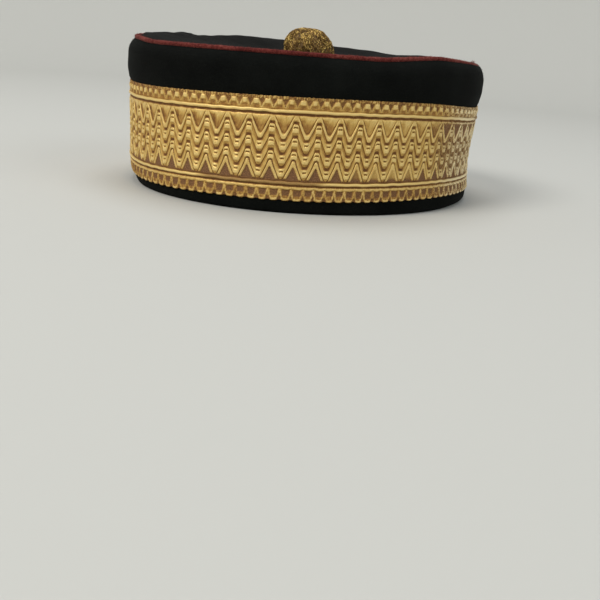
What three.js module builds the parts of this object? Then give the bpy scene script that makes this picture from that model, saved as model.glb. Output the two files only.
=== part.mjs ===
// Pillbox cap
//
// A stiff oval cap of black cloth. Its side is a wall that swells a little above a broad gold
// lace and rounds in to a seam, where a thin red cord lies between the side and the top. The top
// is a disc of cloth, sunk at the middle, with a wire-covered button on it.
// Sizes are in millimetres, +Z is up, and the bottom edge lies in the plane z = 0. The front of
// the cap faces -Y and its length lies along Y.

import * as THREE from 'three';
import { mergeVertices } from 'three/addons/utils/BufferGeometryUtils.js';

// Driving dimensions

const capHeight = 69.6;        // bottom edge to the middle of the piping, without the rim's wave
const sideRadius = 88.7;       // outer face of the side at the bottom, mean of length and width
const ovalGrowth = 4.45;       // added to the mean radius along Y, and taken from it along X
const sideThickness = 3;       // cloth with its stiffened backing
const sideFlare = 0.6;         // how far the side leans out up to its widest height
const sideSwell = 2.1;         // how far the cloth swells out above the lace
const edgeRoundingHeight = 1.6;  // the folded bottom edge is rounded over this height
const edgeRoundingDepth = 1.2;   // and this depth, outside
const shoulderHeight = 7.4;    // the rounded shoulder is part of an ellipse this high
const shoulderDepth = 8.6;     // and this deep
const shoulderTurn = 65;       // degrees that the shoulder turns before it meets the seam
const pipingDiameter = 2.5;
const laceRise = 6.3;          // bottom edge to the lower edge of the lace
const laceWidth = 44.45;       // 1 3/4 inches, a standard width of lace
const laceThickness = 0.9;
const laceTilt = 1.2;          // how far the lace is sewn too high on one side, too low on the other
const laceTiltAt = 45;         // degrees from +X to its highest place
const crownThickness = 2.4;
const crownDip = 3;            // how far the button's seat lies below the middle of the piping
const crownEdgeRise = 0.5;     // how far the cloth beside the piping stands above its middle
const crownPuff = 2.8;         // how high the cloth puffs up where it is fullest
const rimLift = 2.1;           // how high the rim's wave goes
const rimSpread = 0.6;         // how far the rim stands out on one side and in on the other
const buttonDiameter = 26;
const buttonHeight = 14.7;
const buttonShift = 1.2;       // how far the button sits off the middle
const buttonLean = 1.8;        // how much further its top leans the same way
const buttonLeanAt = 225;      // degrees from +X to the side where it leans
const seamGap = 0.3;           // clearance between neighbouring pieces

const aroundSteps = 64;        // flat facets round each ring

// The wave of the rim, going round from +X towards +Y
// lift, puff and out are shares of rimLift, crownPuff and rimSpread

const rimWave = [
  { at: 0, lift: 1, puff: 0.2, out: 0.4 },
  { at: 10, lift: 0.75, puff: 0.25, out: 0.6 },
  { at: 22, lift: 0.3, puff: 0.35, out: 0.9 },
  { at: 45, lift: -0.4, puff: 0.5, out: 1 },
  { at: 60, lift: 0, puff: 0.55, out: 0.8 },
  { at: 78, lift: 0.4, puff: 0.5, out: 0.4 },
  { at: 98, lift: -0.2, puff: 0.2, out: 0 },
  { at: 107, lift: 0.15, puff: 0.45, out: 0 },
  { at: 120, lift: 0.45, puff: 0.75, out: 0 },
  { at: 150, lift: 0.9, puff: 1, out: -0.2 },
  { at: 172, lift: 0.9, puff: 0.95, out: -0.4 },
  { at: 190, lift: 0.75, puff: 0.7, out: -0.7 },
  { at: 197, lift: 0.9, puff: 1, out: -0.8 },
  { at: 215, lift: 0.8, puff: 0.55, out: -1 },
  { at: 230, lift: 0.55, puff: 0.3, out: -1 },
  { at: 250, lift: 0.25, puff: 0.15, out: -0.8 },
  { at: 264, lift: -0.2, puff: 0.1, out: -0.5 },
  { at: 310, lift: 0.1, puff: 0.1, out: 0 },
  { at: 335, lift: 0.05, puff: 0.1, out: 0.2 },
  { at: 350, lift: 0.85, puff: 0.15, out: 0.3 },
];

// Where the wave starts on the side and where it is whole, as shares of capHeight
const waveStart = 0.72;
const waveWhole = 0.92;

// Shares of the side's widest height: where the swell starts, and the rows of the side's wall
const swellStart = 0.78;
const sideRows = [0.1, 0.35, 0.6, 0.78, 0.84, 0.89, 0.94];
const shoulderSteps = 5;
const laceRows = [0, 0.3, 0.6, 0.78, 0.86, 0.93, 1];

// Shares of the crown's radius: the rows of the disc, the seat's edge and the ends of the puff
const crownRows = [0.16, 0.3, 0.45, 0.6, 0.7, 0.79, 0.87, 0.93, 0.97];
const seatShare = 0.16;
const rimShare = 0.9;
const puffStart = 0.55;
const puffFull = 0.88;
const puffEnd = 1;

// Shares of the button: the height of its widest place, the width of its flat underside, and
// how square the dome's outline is, where 1 is an ellipse and less is squarer
const buttonWaist = 0.36;
const buttonSeat = 0.68;
const buttonSquareness = 0.9;
const buttonUndersideSteps = 3;
const buttonDomeSteps = 12;
const buttonAroundSteps = 32;
const pipingSides = 8;

// Curves shared by the pieces

const smooth = (from, to, value) => {
  const share = THREE.MathUtils.clamp((value - from) / (to - from), 0, 1);
  return share * share * (3 - 2 * share);
};

// The value of one column of the rim's wave at an angle in degrees, eased from row to row
function wave(column, degrees) {
  const angle = THREE.MathUtils.euclideanModulo(degrees, 360);
  const next = rimWave.findIndex((row) => row.at > angle);
  const after = next < 0 ? { ...rimWave[0], at: 360 } : rimWave[next];
  const before = next < 0 ? rimWave[rimWave.length - 1] : rimWave[next - 1];
  return THREE.MathUtils.lerp(before[column], after[column], smooth(before.at, after.at, angle));
}

// The seam, where the shoulder ends: its corner on the outside of the cloth, the direction of
// the cloth there and the direction straight out of it, in the plane of radius and height
const turn = THREE.MathUtils.degToRad(shoulderTurn);
const outOfCloth = new THREE.Vector2(
  shoulderHeight * Math.cos(turn),
  shoulderDepth * Math.sin(turn),
).normalize();
const alongCloth = new THREE.Vector2(-outOfCloth.y, outOfCloth.x);
const pipingReach = pipingDiameter / 2 + seamGap;
const pipingFromSeam = alongCloth.clone().multiplyScalar(seamGap / 2)
  .addScaledVector(outOfCloth, pipingReach);

const widestHeight = capHeight - pipingFromSeam.y - shoulderHeight * Math.sin(turn);
const widestRadius = sideRadius + sideFlare + sideSwell;
const shoulderMiddle = new THREE.Vector2(widestRadius - shoulderDepth, widestHeight);
const seamCorner = new THREE.Vector2(
  shoulderMiddle.x + shoulderDepth * Math.cos(turn),
  shoulderMiddle.y + shoulderHeight * Math.sin(turn),
);
const pipingMiddle = seamCorner.clone().add(pipingFromSeam);
const crownRadius = pipingMiddle.x - pipingReach;

// Radius of the side's outer face at a height
function sideOutside(height) {
  if (height > widestHeight) {
    const share = Math.min((height - widestHeight) / shoulderHeight, 1);
    return shoulderMiddle.x + shoulderDepth * Math.sqrt(1 - share * share);
  }
  const flare = sideFlare * height / widestHeight;
  return sideRadius + flare + sideSwell * smooth(swellStart * widestHeight, widestHeight, height);
}

// Height of the crown's upper face, before the wave and the puff, at a share of its radius
function crownHeight(share) {
  const seat = capHeight - crownDip;
  const rim = capHeight + crownEdgeRise;
  return THREE.MathUtils.lerp(seat, rim, smooth(seatShare, rimShare, share));
}

// Moves a point from the round cap without a wave to its place on the real cap
function toCap(point) {
  const radius = Math.hypot(point.x, point.y);
  if (radius === 0) return point;
  const angle = Math.atan2(point.y, point.x);
  const degrees = THREE.MathUtils.radToDeg(angle);
  const share = Math.min(radius / crownRadius, 1);
  const waveShare = share * share * smooth(waveStart * capHeight, waveWhole * capHeight, point.z);
  const lift = rimLift * wave('lift', degrees) * waveShare;
  const spread = rimSpread * wave('out', degrees) * waveShare;
  const ovalRadius = radius - ovalGrowth * share * Math.cos(2 * angle) + spread;
  const puff = crownPuff * wave('puff', degrees)
    * smooth(puffStart, puffFull, share) * (1 - smooth(puffFull, puffEnd, share));
  const height = point.z + lift + puff;
  return point.set(ovalRadius * Math.cos(angle), ovalRadius * Math.sin(angle), height);
}

// A ring or disc: a profile of points (radius, height) turned round the Z axis
// The profile goes up the outside, and closes on itself or ends on the axis

function turned(profile, steps, move) {
  const lathe = new THREE.LatheGeometry(profile, steps);
  lathe.rotateX(Math.PI / 2);
  lathe.deleteAttribute('normal');
  lathe.deleteAttribute('uv');
  const place = new THREE.Vector3();
  const positions = lathe.getAttribute('position');
  for (let i = 0; i < positions.count; i += 1) {
    place.fromBufferAttribute(positions, i);
    if (Math.abs(place.x) < 1e-6) place.x = 0;
    if (Math.abs(place.y) < 1e-6) place.y = 0;
    place.copy(move(place));
    positions.setXYZ(i, place.x, place.y, place.z);
  }
  return withoutSlivers(mergeVertices(lathe, 1e-4));
}

// Leaves out the triangles that have no area, where a profile meets the axis
function withoutSlivers(geometry) {
  const corners = Array.from(geometry.getIndex().array);
  const kept = [];
  for (let i = 0; i < corners.length; i += 3) {
    const [a, b, c] = corners.slice(i, i + 3);
    if (a !== b && b !== c && c !== a) kept.push(a, b, c);
  }
  geometry.setIndex(kept);
  geometry.computeVertexNormals();
  return geometry;
}

// Pieces

// The side: up its outer face, round the shoulder, across the seam and down its inner face
function sideWallShape() {
  const rows = sideRows.map((share) => share * widestHeight);
  const innerFoot = sideRadius - sideThickness;
  const innerChamfer = edgeRoundingDepth / 2;
  const outer = [
    new THREE.Vector2(sideRadius - edgeRoundingDepth, 0),
    new THREE.Vector2(sideRadius - edgeRoundingDepth * (1 - Math.SQRT1_2),
      edgeRoundingHeight * (1 - Math.SQRT1_2)),
    new THREE.Vector2(sideOutside(edgeRoundingHeight), edgeRoundingHeight),
    ...rows.map((height) => new THREE.Vector2(sideOutside(height), height)),
  ];
  const inner = [
    new THREE.Vector2(innerFoot + innerChamfer, 0),
    new THREE.Vector2(innerFoot, innerChamfer),
    ...rows.map((height) => new THREE.Vector2(sideOutside(height) - sideThickness, height)),
  ];
  for (let i = 0; i <= shoulderSteps; i += 1) {
    const angle = turn * i / shoulderSteps;
    const ray = (inset) => new THREE.Vector2(
      shoulderMiddle.x + (shoulderDepth - inset) * Math.cos(angle),
      shoulderMiddle.y + (shoulderHeight - inset) * Math.sin(angle),
    );
    outer.push(ray(0));
    inner.push(ray(sideThickness));
  }
  return turned([...outer, ...inner.reverse(), outer[0]], aroundSteps, toCap);
}

// The crown: its edge lies along the seam, and its cloth rises beside the piping
function crownTopShape() {
  const seamTop = seamCorner.clone().addScaledVector(alongCloth, seamGap);
  const seamBottom = seamTop.clone().addScaledVector(outOfCloth, -crownThickness);
  const besidePiping = pipingMiddle.clone().addScaledVector(alongCloth, pipingReach);
  const besideLower = pipingMiddle.clone()
    .addScaledVector(alongCloth, pipingReach * Math.SQRT1_2)
    .addScaledVector(outOfCloth, -pipingReach * Math.SQRT1_2);
  const upper = crownRows.map(
    (share) => new THREE.Vector2(share * crownRadius, crownHeight(share)),
  );
  const lower = upper.map((point) => new THREE.Vector2(point.x, point.y - crownThickness));
  const middle = new THREE.Vector2(0, crownHeight(0));
  return turned([
    new THREE.Vector2(0, middle.y - crownThickness),
    ...lower,
    seamBottom,
    seamTop,
    besideLower,
    besidePiping,
    ...upper.reverse(),
    middle,
  ], aroundSteps, toCap);
}

// The piping: a cord laid round in the groove of the seam
function pipingShape() {
  const section = [];
  for (let i = 0; i <= pipingSides; i += 1) {
    const angle = 2 * Math.PI * (i % pipingSides) / pipingSides;
    section.push(new THREE.Vector2(
      pipingMiddle.x + Math.cos(angle) * pipingDiameter / 2,
      pipingMiddle.y + Math.sin(angle) * pipingDiameter / 2,
    ));
  }
  return turned(section, aroundSteps, toCap);
}

// The lace: a band laid on the side's outer face, a little out of level
// Its section is given as distances out from the side
function laceBandShape() {
  const rows = laceRows.map((share) => laceRise + share * laceWidth);
  const back = rows.map((height) => new THREE.Vector2(seamGap, height));
  const face = rows.map((height) => new THREE.Vector2(seamGap + laceThickness, height));
  return turned([...face, ...back.reverse(), face[0]], aroundSteps, (point) => {
    const angle = Math.atan2(point.y, point.x);
    const fromSide = Math.hypot(point.x, point.y);
    const height = point.z + laceTilt * Math.cos(angle - THREE.MathUtils.degToRad(laceTiltAt));
    const radius = sideOutside(height) + fromSide;
    return toCap(point.set(radius * Math.cos(angle), radius * Math.sin(angle), height));
  });
}

// The button: a dome with a rounded underside that stands on the crown's seat
function buttonShape() {
  const foot = capHeight - crownDip + seamGap;
  const waist = foot + buttonHeight * buttonWaist;
  const halfWidth = buttonDiameter / 2;
  const seatHalfWidth = halfWidth * buttonSeat;
  const profile = [new THREE.Vector2(0, foot)];
  for (let i = 0; i <= buttonUndersideSteps; i += 1) {
    const angle = Math.PI / 2 * i / buttonUndersideSteps;
    profile.push(new THREE.Vector2(
      seatHalfWidth + (halfWidth - seatHalfWidth) * Math.sin(angle),
      waist - (waist - foot) * Math.cos(angle),
    ));
  }
  for (let i = 1; i <= buttonDomeSteps; i += 1) {
    const angle = Math.PI / 2 * i / buttonDomeSteps;
    profile.push(new THREE.Vector2(
      i === buttonDomeSteps ? 0 : halfWidth * Math.cos(angle) ** buttonSquareness,
      waist + (foot + buttonHeight - waist) * Math.sin(angle),
    ));
  }
  const leanAngle = THREE.MathUtils.degToRad(buttonLeanAt);
  const leanTowards = new THREE.Vector2(Math.cos(leanAngle), Math.sin(leanAngle));
  return turned(profile, buttonAroundSteps, (point) => {
    const lean = buttonShift + buttonLean * smooth(foot, foot + buttonHeight, point.z);
    return point.set(point.x + lean * leanTowards.x, point.y + lean * leanTowards.y, point.z);
  });
}

// The cap

function piece(name, geometry, color, roughness, metalness) {
  const material = new THREE.MeshStandardMaterial({ color, roughness, metalness });
  const mesh = new THREE.Mesh(geometry, material);
  mesh.name = name;
  return mesh;
}

const cap = new THREE.Group();
cap.add(
  piece('side_wall', sideWallShape(), 0x0f1111, 0.95, 0),
  piece('crown_top', crownTopShape(), 0x1c1d1f, 0.95, 0),
  piece('piping', pipingShape(), 0x7d3230, 0.85, 0),
  piece('lace_band', laceBandShape(), 0xc8a055, 0.45, 0.5),
  piece('button', buttonShape(), 0x8a6a2c, 0.4, 0.8),
);

export default cap;
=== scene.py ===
# %% [markdown]
# # A pillbox cap with a broad gold lace
# The cap is a stiff oval drum of black cloth. A woven gold lace runs round its side, a thin red
# cord lies in the seam between the side and the top, and a wire-covered button sits in the
# middle. Its solids are loaded first as a fixed frame, and every finished piece below is made
# round that frame at the same size, so nothing has to be fitted afterwards.

# %% Load the frame
import math
import random
from collections import namedtuple

import bpy
import numpy as np
from mathutils import Matrix, Vector


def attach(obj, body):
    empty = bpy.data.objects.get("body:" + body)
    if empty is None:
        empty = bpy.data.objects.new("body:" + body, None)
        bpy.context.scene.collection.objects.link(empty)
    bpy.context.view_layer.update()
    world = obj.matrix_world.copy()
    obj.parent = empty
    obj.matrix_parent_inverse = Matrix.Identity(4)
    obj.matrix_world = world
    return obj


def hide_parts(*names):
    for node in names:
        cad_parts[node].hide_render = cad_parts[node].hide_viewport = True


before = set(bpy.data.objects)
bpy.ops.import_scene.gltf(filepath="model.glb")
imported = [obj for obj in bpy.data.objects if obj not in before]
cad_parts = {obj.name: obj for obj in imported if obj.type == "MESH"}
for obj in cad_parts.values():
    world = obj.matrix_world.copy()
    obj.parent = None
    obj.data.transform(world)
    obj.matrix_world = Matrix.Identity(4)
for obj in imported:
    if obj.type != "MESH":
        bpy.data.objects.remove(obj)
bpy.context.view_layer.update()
MM = 0.001

# %% [markdown]
# ## The camera
# The camera comes first, so that each piece can be judged as soon as it is made. It stands a
# little above the cap, close to it, and looks down past it, so the cap sits high in the picture
# and leans by a few degrees. A base direction is built from the side it stands on and its rise,
# and three small turns are then added in the camera's own axes, which keeps the lens shift at zero.

# %% Camera
CAMERA_SIDE = 45        # degrees from the front of the cap, towards its right
CAMERA_RISE = 4.783     # degrees above the level of the target
CAMERA_DISTANCE = 482.1
CAMERA_LENS = 52.81
CAMERA_SENSOR = 36
CAMERA_ROLL = 4.540
CAMERA_YAW = 0.356
CAMERA_PITCH = 11.765
TARGET = Vector((0, 0, 36)) * MM


def place_camera():
    side = math.radians(CAMERA_SIDE)
    rise = math.radians(CAMERA_RISE)
    right = Vector((math.cos(side), math.sin(side), 0))
    back = Vector((math.sin(side) * math.cos(rise), -math.cos(side) * math.cos(rise), math.sin(rise)))
    up = back.cross(right)
    base = Matrix((right, up, back)).transposed()
    roll = Matrix.Rotation(math.radians(CAMERA_ROLL), 3, "Z")
    yaw = Matrix.Rotation(math.radians(CAMERA_YAW), 3, "Y")
    pitch = Matrix.Rotation(-math.radians(CAMERA_PITCH), 3, "X")
    lens = bpy.data.cameras.new("camera")
    lens.lens = CAMERA_LENS
    lens.sensor_width = CAMERA_SENSOR
    camera = bpy.data.objects.new("camera", lens)
    bpy.context.scene.collection.objects.link(camera)
    turned = (base @ roll @ yaw @ pitch).to_4x4()
    camera.matrix_world = Matrix.Translation(TARGET + back * CAMERA_DISTANCE * MM) @ turned
    bpy.context.scene.camera = camera
    return camera, right, back


camera, towards_right, towards_camera = place_camera()
print("camera at, mm:", [round(x / MM) for x in camera.location])

# %% [markdown]
# ## The shape of the cap
# The cap is an oval drum whose rim waves a little, because cloth never lies quite true. The
# solids were made as a round cap first, as a profile of radius and height, and every point was
# then moved to its place on the real one. The same is done here with arrays, but without the
# flat facets: a whole sheet of points is moved in one call. Sizes are in millimetres.

# %% Sizes of the cap
CAP_HEIGHT = 69.6
SIDE_RADIUS = 88.7
OVAL_GROWTH = 4.45
SIDE_THICKNESS = 3
SIDE_FLARE = 0.6
SIDE_SWELL = 2.1
SWELL_START = 0.78
SHOULDER_HEIGHT = 7.4
SHOULDER_DEPTH = 8.6
SHOULDER_TURN = math.radians(65)
PIPING_DIAMETER = 2.5
LACE_RISE = 6.3
LACE_WIDTH = 44.45
LACE_TILT = 1.2
LACE_TILT_AT = math.radians(45)
CROWN_THICKNESS = 2.4
CROWN_DIP = 3
CROWN_EDGE_RISE = 0.5
CROWN_PUFF = 2.8
RIM_LIFT = 2.1
RIM_SPREAD = 0.6
SEAM_GAP = 0.3
WAVE_START = 0.72
WAVE_WHOLE = 0.92
SEAT_SHARE = 0.16
RIM_SHARE = 0.9
PUFF_START = 0.55
PUFF_FULL = 0.88

RimRow = namedtuple("RimRow", "at lift puff out")
RIM_WAVE = [
    RimRow(0, 1, 0.2, 0.4),
    RimRow(10, 0.75, 0.25, 0.6),
    RimRow(22, 0.3, 0.35, 0.9),
    RimRow(45, -0.4, 0.5, 1),
    RimRow(60, 0, 0.55, 0.8),
    RimRow(78, 0.4, 0.5, 0.4),
    RimRow(98, -0.2, 0.2, 0),
    RimRow(107, 0.15, 0.45, 0),
    RimRow(120, 0.45, 0.75, 0),
    RimRow(150, 0.9, 1, -0.2),
    RimRow(172, 0.9, 0.95, -0.4),
    RimRow(190, 0.75, 0.7, -0.7),
    RimRow(198, 0.62, 0.67, -0.8),
    RimRow(215, 0.8, 0.55, -1),
    RimRow(230, 0.55, 0.3, -1),
    RimRow(250, 0.25, 0.15, -0.8),
    RimRow(264, -0.27, 0.1, -0.5),
    RimRow(310, -0.05, 0.1, 0),
    RimRow(335, -0.03, 0.1, 0.2),
    RimRow(350, 0.65, 0.15, 0.3),
]

# where the soft side swells out or sinks in: round the cap in degrees, up in mm, and by how many mm
Swelling = namedtuple("Swelling", "at wide height tall out")
SIDE_SWELLINGS = [
    Swelling(236, 46, 70, 14, 1.35),
    Swelling(236, 46, 44, 13, 0.6),
    Swelling(234, 26, -1, 5.5, -3.4),
    Swelling(34, 38, 62, 6, 0.1),
    Swelling(34, 34, 46, 8, 0.8),
    Swelling(34, 30, 23, 11, -0.9),
    Swelling(30, 34, 2, 9, 1.3),
    Swelling(24, 18, -1, 3.5, -1.8),
]

# where the lace lies off its level: round the cap in degrees, and by how many mm at its two edges
LaceShift = namedtuple("LaceShift", "at wide top foot")
LACE_SHIFTS = [
    LaceShift(36, 28, -3, -0.7),
    LaceShift(325, 34, 0.7, -0.4),
    LaceShift(262, 24, -0.5, -1),
    LaceShift(230, 13, 0, 1.8),
    LaceShift(205, 12, 0, 0.8),
]
print(f"{CAP_HEIGHT} mm high without the button, with lace of {LACE_WIDTH} mm")

# %% Curves


def smooth(start, end, value):
    """0 before start, 1 after end, and an eased step between them."""
    share = np.clip((value - start) / (end - start), 0, 1)
    return share * share * (3 - 2 * share)


def fade(start, end, value):
    """1 before start, 0 after end, and an eased step between them."""
    return 1 - smooth(start, end, value)


def within(value, low, high, soft):
    """1 between low and high, 0 outside, with soft ends."""
    return smooth(low - soft, low + soft, value) * fade(high - soft, high + soft, value)


def bell(aside, wide):
    """1 in the middle, and less and less to both sides."""
    return np.exp(-(aside / wide) ** 2)


def from_direction(degrees, at):
    """How far one direction round the cap lies from another, between -180 and 180 degrees."""
    return (degrees - at + 180) % 360 - 180


def wave(column, degrees):
    """One column of the rim's wave, as a smooth curve through its rows."""
    at = np.array([row.at for row in RIM_WAVE], float)
    value = np.array([getattr(row, column) for row in RIM_WAVE], float)
    at = np.concatenate([at - 360, at, at + 360])
    value = np.tile(value, 3)
    step = np.diff(at)
    rise = np.diff(value) / step
    lean = np.zeros_like(value)
    steady = rise[:-1] * rise[1:] > 0
    lean[1:-1][steady] = 2 * rise[:-1][steady] * rise[1:][steady] / (rise[:-1] + rise[1:])[steady]
    angle = np.mod(degrees, 360)
    row = np.searchsorted(at, angle, side="right") - 1
    share = (angle - at[row]) / step[row]
    ease = share * share * (3 - 2 * share)
    return (
        value[row] * (1 - ease)
        + value[row + 1] * ease
        + step[row] * lean[row] * share * (1 - share) ** 2
        - step[row] * lean[row + 1] * share ** 2 * (1 - share)
    )


print(f"at 0 degrees the wave lifts the rim by {RIM_LIFT * float(wave('lift', 0)):.1f} mm")

# %% Where the seam lies
out_of_cloth = np.array([
    SHOULDER_HEIGHT * math.cos(SHOULDER_TURN),
    SHOULDER_DEPTH * math.sin(SHOULDER_TURN),
])
out_of_cloth /= np.linalg.norm(out_of_cloth)
along_cloth = np.array([-out_of_cloth[1], out_of_cloth[0]])
PIPING_REACH = PIPING_DIAMETER / 2 + SEAM_GAP
piping_from_seam = along_cloth * SEAM_GAP / 2 + out_of_cloth * PIPING_REACH
WIDEST_HEIGHT = CAP_HEIGHT - piping_from_seam[1] - SHOULDER_HEIGHT * math.sin(SHOULDER_TURN)
WIDEST_RADIUS = SIDE_RADIUS + SIDE_FLARE + SIDE_SWELL
shoulder_middle = np.array([WIDEST_RADIUS - SHOULDER_DEPTH, WIDEST_HEIGHT])
seam_corner = shoulder_middle + np.array([
    SHOULDER_DEPTH * math.cos(SHOULDER_TURN),
    SHOULDER_HEIGHT * math.sin(SHOULDER_TURN),
])
piping_middle = seam_corner + piping_from_seam
CROWN_RADIUS = piping_middle[0] - PIPING_REACH
print(f"widest at {WIDEST_HEIGHT:.1f} mm, crown radius {CROWN_RADIUS:.1f} mm")

# %% The faces of the cap


def swelling(degrees, height):
    """How far the side stands out of its plain oval at a place, in millimetres."""
    total = 0.0
    for row in SIDE_SWELLINGS:
        near = bell(from_direction(degrees, row.at), row.wide) * bell(height - row.height, row.tall)
        total = total + row.out * near
    return total


def side_outside(height):
    """Radius of the side's outer face at a height, up to the seam."""
    share = np.clip((height - WIDEST_HEIGHT) / SHOULDER_HEIGHT, 0, 1)
    shoulder = shoulder_middle[0] + SHOULDER_DEPTH * np.sqrt(1 - share * share)
    swell = SIDE_SWELL * smooth(SWELL_START * WIDEST_HEIGHT, WIDEST_HEIGHT, height)
    wall = SIDE_RADIUS + SIDE_FLARE * height / WIDEST_HEIGHT + swell
    return np.where(height > WIDEST_HEIGHT, shoulder, wall)


def lace_height(angle, down):
    """Height on the cap of a place on the lace, which was sewn on a little out of level."""
    level = LACE_RISE + LACE_WIDTH - down + LACE_TILT * np.cos(angle - LACE_TILT_AT)
    share = down / LACE_WIDTH
    for row in LACE_SHIFTS:
        near = bell(from_direction(np.degrees(angle), row.at), row.wide)
        level = level + near * (row.top * (1 - share) + row.foot * share)
    return level


def crown_height(share):
    """Height of the crown's upper face before the wave and the puff, at a share of its radius."""
    rise = CROWN_DIP + CROWN_EDGE_RISE
    return CAP_HEIGHT - CROWN_DIP + rise * smooth(SEAT_SHARE, RIM_SHARE, share)


def to_cap(radius, angle, height):
    """Moves points of the plain round cap to the real one, as an array (..., 3)."""
    radius, angle, height = np.broadcast_arrays(radius, angle, height)
    degrees = np.degrees(angle)
    share = np.minimum(radius / CROWN_RADIUS, 1)
    waving = share ** 2 * smooth(WAVE_START * CAP_HEIGHT, WAVE_WHOLE * CAP_HEIGHT, height)
    oval = radius - OVAL_GROWTH * share * np.cos(2 * angle) + RIM_SPREAD * wave("out", degrees) * waving
    oval = oval + swelling(degrees, height) * share ** 4
    puffing = smooth(PUFF_START, PUFF_FULL, share) * fade(PUFF_FULL, 1, share)
    lift = RIM_LIFT * wave("lift", degrees) * waving + CROWN_PUFF * wave("puff", degrees) * puffing
    return np.stack([oval * np.cos(angle), oval * np.sin(angle), height + lift], -1)


print("the foot of the cap at 0 degrees, mm:", to_cap(SIDE_RADIUS, 0, 0).round(1))

# %% [markdown]
# ## Making sheets, cords and fibres
# Cloth, lace and cord are all long even surfaces, so each is made as a grid of points that runs
# round the cap: one row of points for each line of its section. A grid can be joined into faces
# by arithmetic alone, which is much faster than calling an operator for each face. Wires and
# fibres are made the same way, many at a time, and joined in one mesh.

# %% Grids and unevenness
SEED = 11
UNEVEN_REACH = 0.9      # keeps a sum of waves between about -1 and 1


def round_angles(count):
    """Evenly spaced angles once round the cap, without the last one that meets the first."""
    return np.arange(count) * math.tau / count


def uneven(along, across, seed, waves=7, low=1, high=9):
    """Slow unevenness between about -1 and 1 that repeats after one turn of along, in radians."""
    dice = random.Random(SEED * 1000 + seed)
    total = np.zeros(np.broadcast(along, across).shape)
    for _ in range(waves):
        turns = dice.randint(low, high)
        total = total + np.sin(turns * along + dice.uniform(-1, 1) * across + dice.uniform(0, math.tau))
    return total / math.sqrt(waves) * UNEVEN_REACH


def grid_faces(rows, columns, close_section=True):
    """Four corners of each face of a grid whose columns run round and close on themselves."""
    corner = np.arange(rows * columns).reshape(rows, columns)
    upper = np.roll(corner, -1, 0) if close_section else corner[1:]
    lower = corner if close_section else corner[:-1]
    return np.stack(
        [lower, np.roll(lower, -1, 1), np.roll(upper, -1, 1), upper], -1
    ).reshape(-1, 4)


print("a closed grid of 3 rows and 4 columns has", len(grid_faces(3, 4)), "faces")

# %% Adding a piece


def volume_of(points, faces):
    a, b, c = points[faces[:, 0]], points[faces[:, 1]], points[faces[:, 2]]
    total = np.einsum("ij,ij->i", a, np.cross(b, c)).sum()
    if faces.shape[1] == 4:
        d = points[faces[:, 3]]
        total += np.einsum("ij,ij->i", a, np.cross(c, d)).sum()
    return total / 6


def add_mesh(name, points, faces, material):
    """Makes a smooth mesh from points in millimetres and faces, in the scene."""
    mesh = bpy.data.meshes.new(name)
    mesh.from_pydata((points * MM).tolist(), [], faces)
    mesh.polygons.foreach_set("use_smooth", np.ones(len(faces), bool))
    mesh.update()
    mesh.materials.append(material)
    made = bpy.data.objects.new(name, mesh)
    bpy.context.scene.collection.objects.link(made)
    return made


def add_piece(name, points, faces, replaces, material):
    """Makes one piece of the cap with its faces turned outwards, and hands it to the frame."""
    points = points.reshape(-1, 3)
    if volume_of(points, faces) < 0:
        faces = faces[:, ::-1]
    piece = add_mesh(name, points, faces.tolist(), material)
    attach(piece, "root")
    if replaces:
        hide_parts(replaces)
    print(f"{name}: {len(points)} points, {len(faces) * (faces.shape[1] - 2)} triangles")
    return piece


print("pieces are made in millimetres and kept in metres, times", MM)

# %% Wires and fibres
NO_PATH_RUNS = np.array([0.31, 0.17, 0.94])     # a direction that is never quite along a wire
FIBRE_SPREAD = 0.6      # how much fibres lean at random
FIBRE_SHORTEST = 0.4    # against the longest


def of_length_one(arrows, axis):
    return arrows / np.linalg.norm(arrows, axis=axis, keepdims=True)


def tubes(paths, radius, sides, closed=False):
    """Round tubes along paths (tube, step, 3), as points and faces. Open tubes get flat ends."""
    count, steps = paths.shape[:2]
    if closed:
        ahead = np.roll(paths, -1, 1) - np.roll(paths, 1, 1)
    else:
        ahead = np.gradient(paths, axis=1)
    ahead = of_length_one(ahead, 2)
    aside = of_length_one(np.cross(ahead, NO_PATH_RUNS), 2)
    over = np.cross(ahead, aside)
    turn = round_angles(sides)[:, None]
    ring = np.cos(turn) * aside[:, :, None] + np.sin(turn) * over[:, :, None]
    points = (paths[:, :, None] + radius * ring).reshape(-1, 3)
    corner = np.arange(count * steps * sides).reshape(count, steps, sides)
    lower = corner if closed else corner[:, :-1]
    upper = np.roll(corner, -1, 1) if closed else corner[:, 1:]
    faces = [np.stack([lower, np.roll(lower, -1, 2), np.roll(upper, -1, 2), upper], -1).reshape(-1, 4)]
    if not closed:
        for first in range(1, sides - 1, 2):
            end = [0, first, first + 1, first + 2]
            faces.append(corner[:, -1, end])
            faces.append(corner[:, 0, end[::-1]])
    return points, np.concatenate(faces)


def fibres(roots, outward, length, width, seed):
    """A thin four-sided spike for each root, leaning at random away from the cloth."""
    dice = np.random.default_rng(SEED * 100 + seed)
    count = len(roots)
    lean = of_length_one(outward + FIBRE_SPREAD * dice.normal(size=(count, 3)), 1)
    reach = length * dice.uniform(FIBRE_SHORTEST, 1, (count, 1))
    aside = of_length_one(np.cross(lean, dice.normal(size=(count, 3))), 1)
    over = np.cross(lean, aside)
    foot = roots - lean * width
    corners = [
        foot + aside * width,
        foot - aside * width / 2 + over * width,
        foot - aside * width / 2 - over * width,
        roots + lean * reach,
    ]
    first = np.arange(count)[:, None, None] * 4
    faces = first + np.array([[0, 2, 1], [0, 1, 3], [1, 2, 3], [2, 0, 3]])
    return np.stack(corners, 1).reshape(-1, 3), faces.reshape(-1, 3)


print("fibres lean by up to about", round(math.degrees(math.atan(2 * FIBRE_SPREAD))), "degrees")

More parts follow.
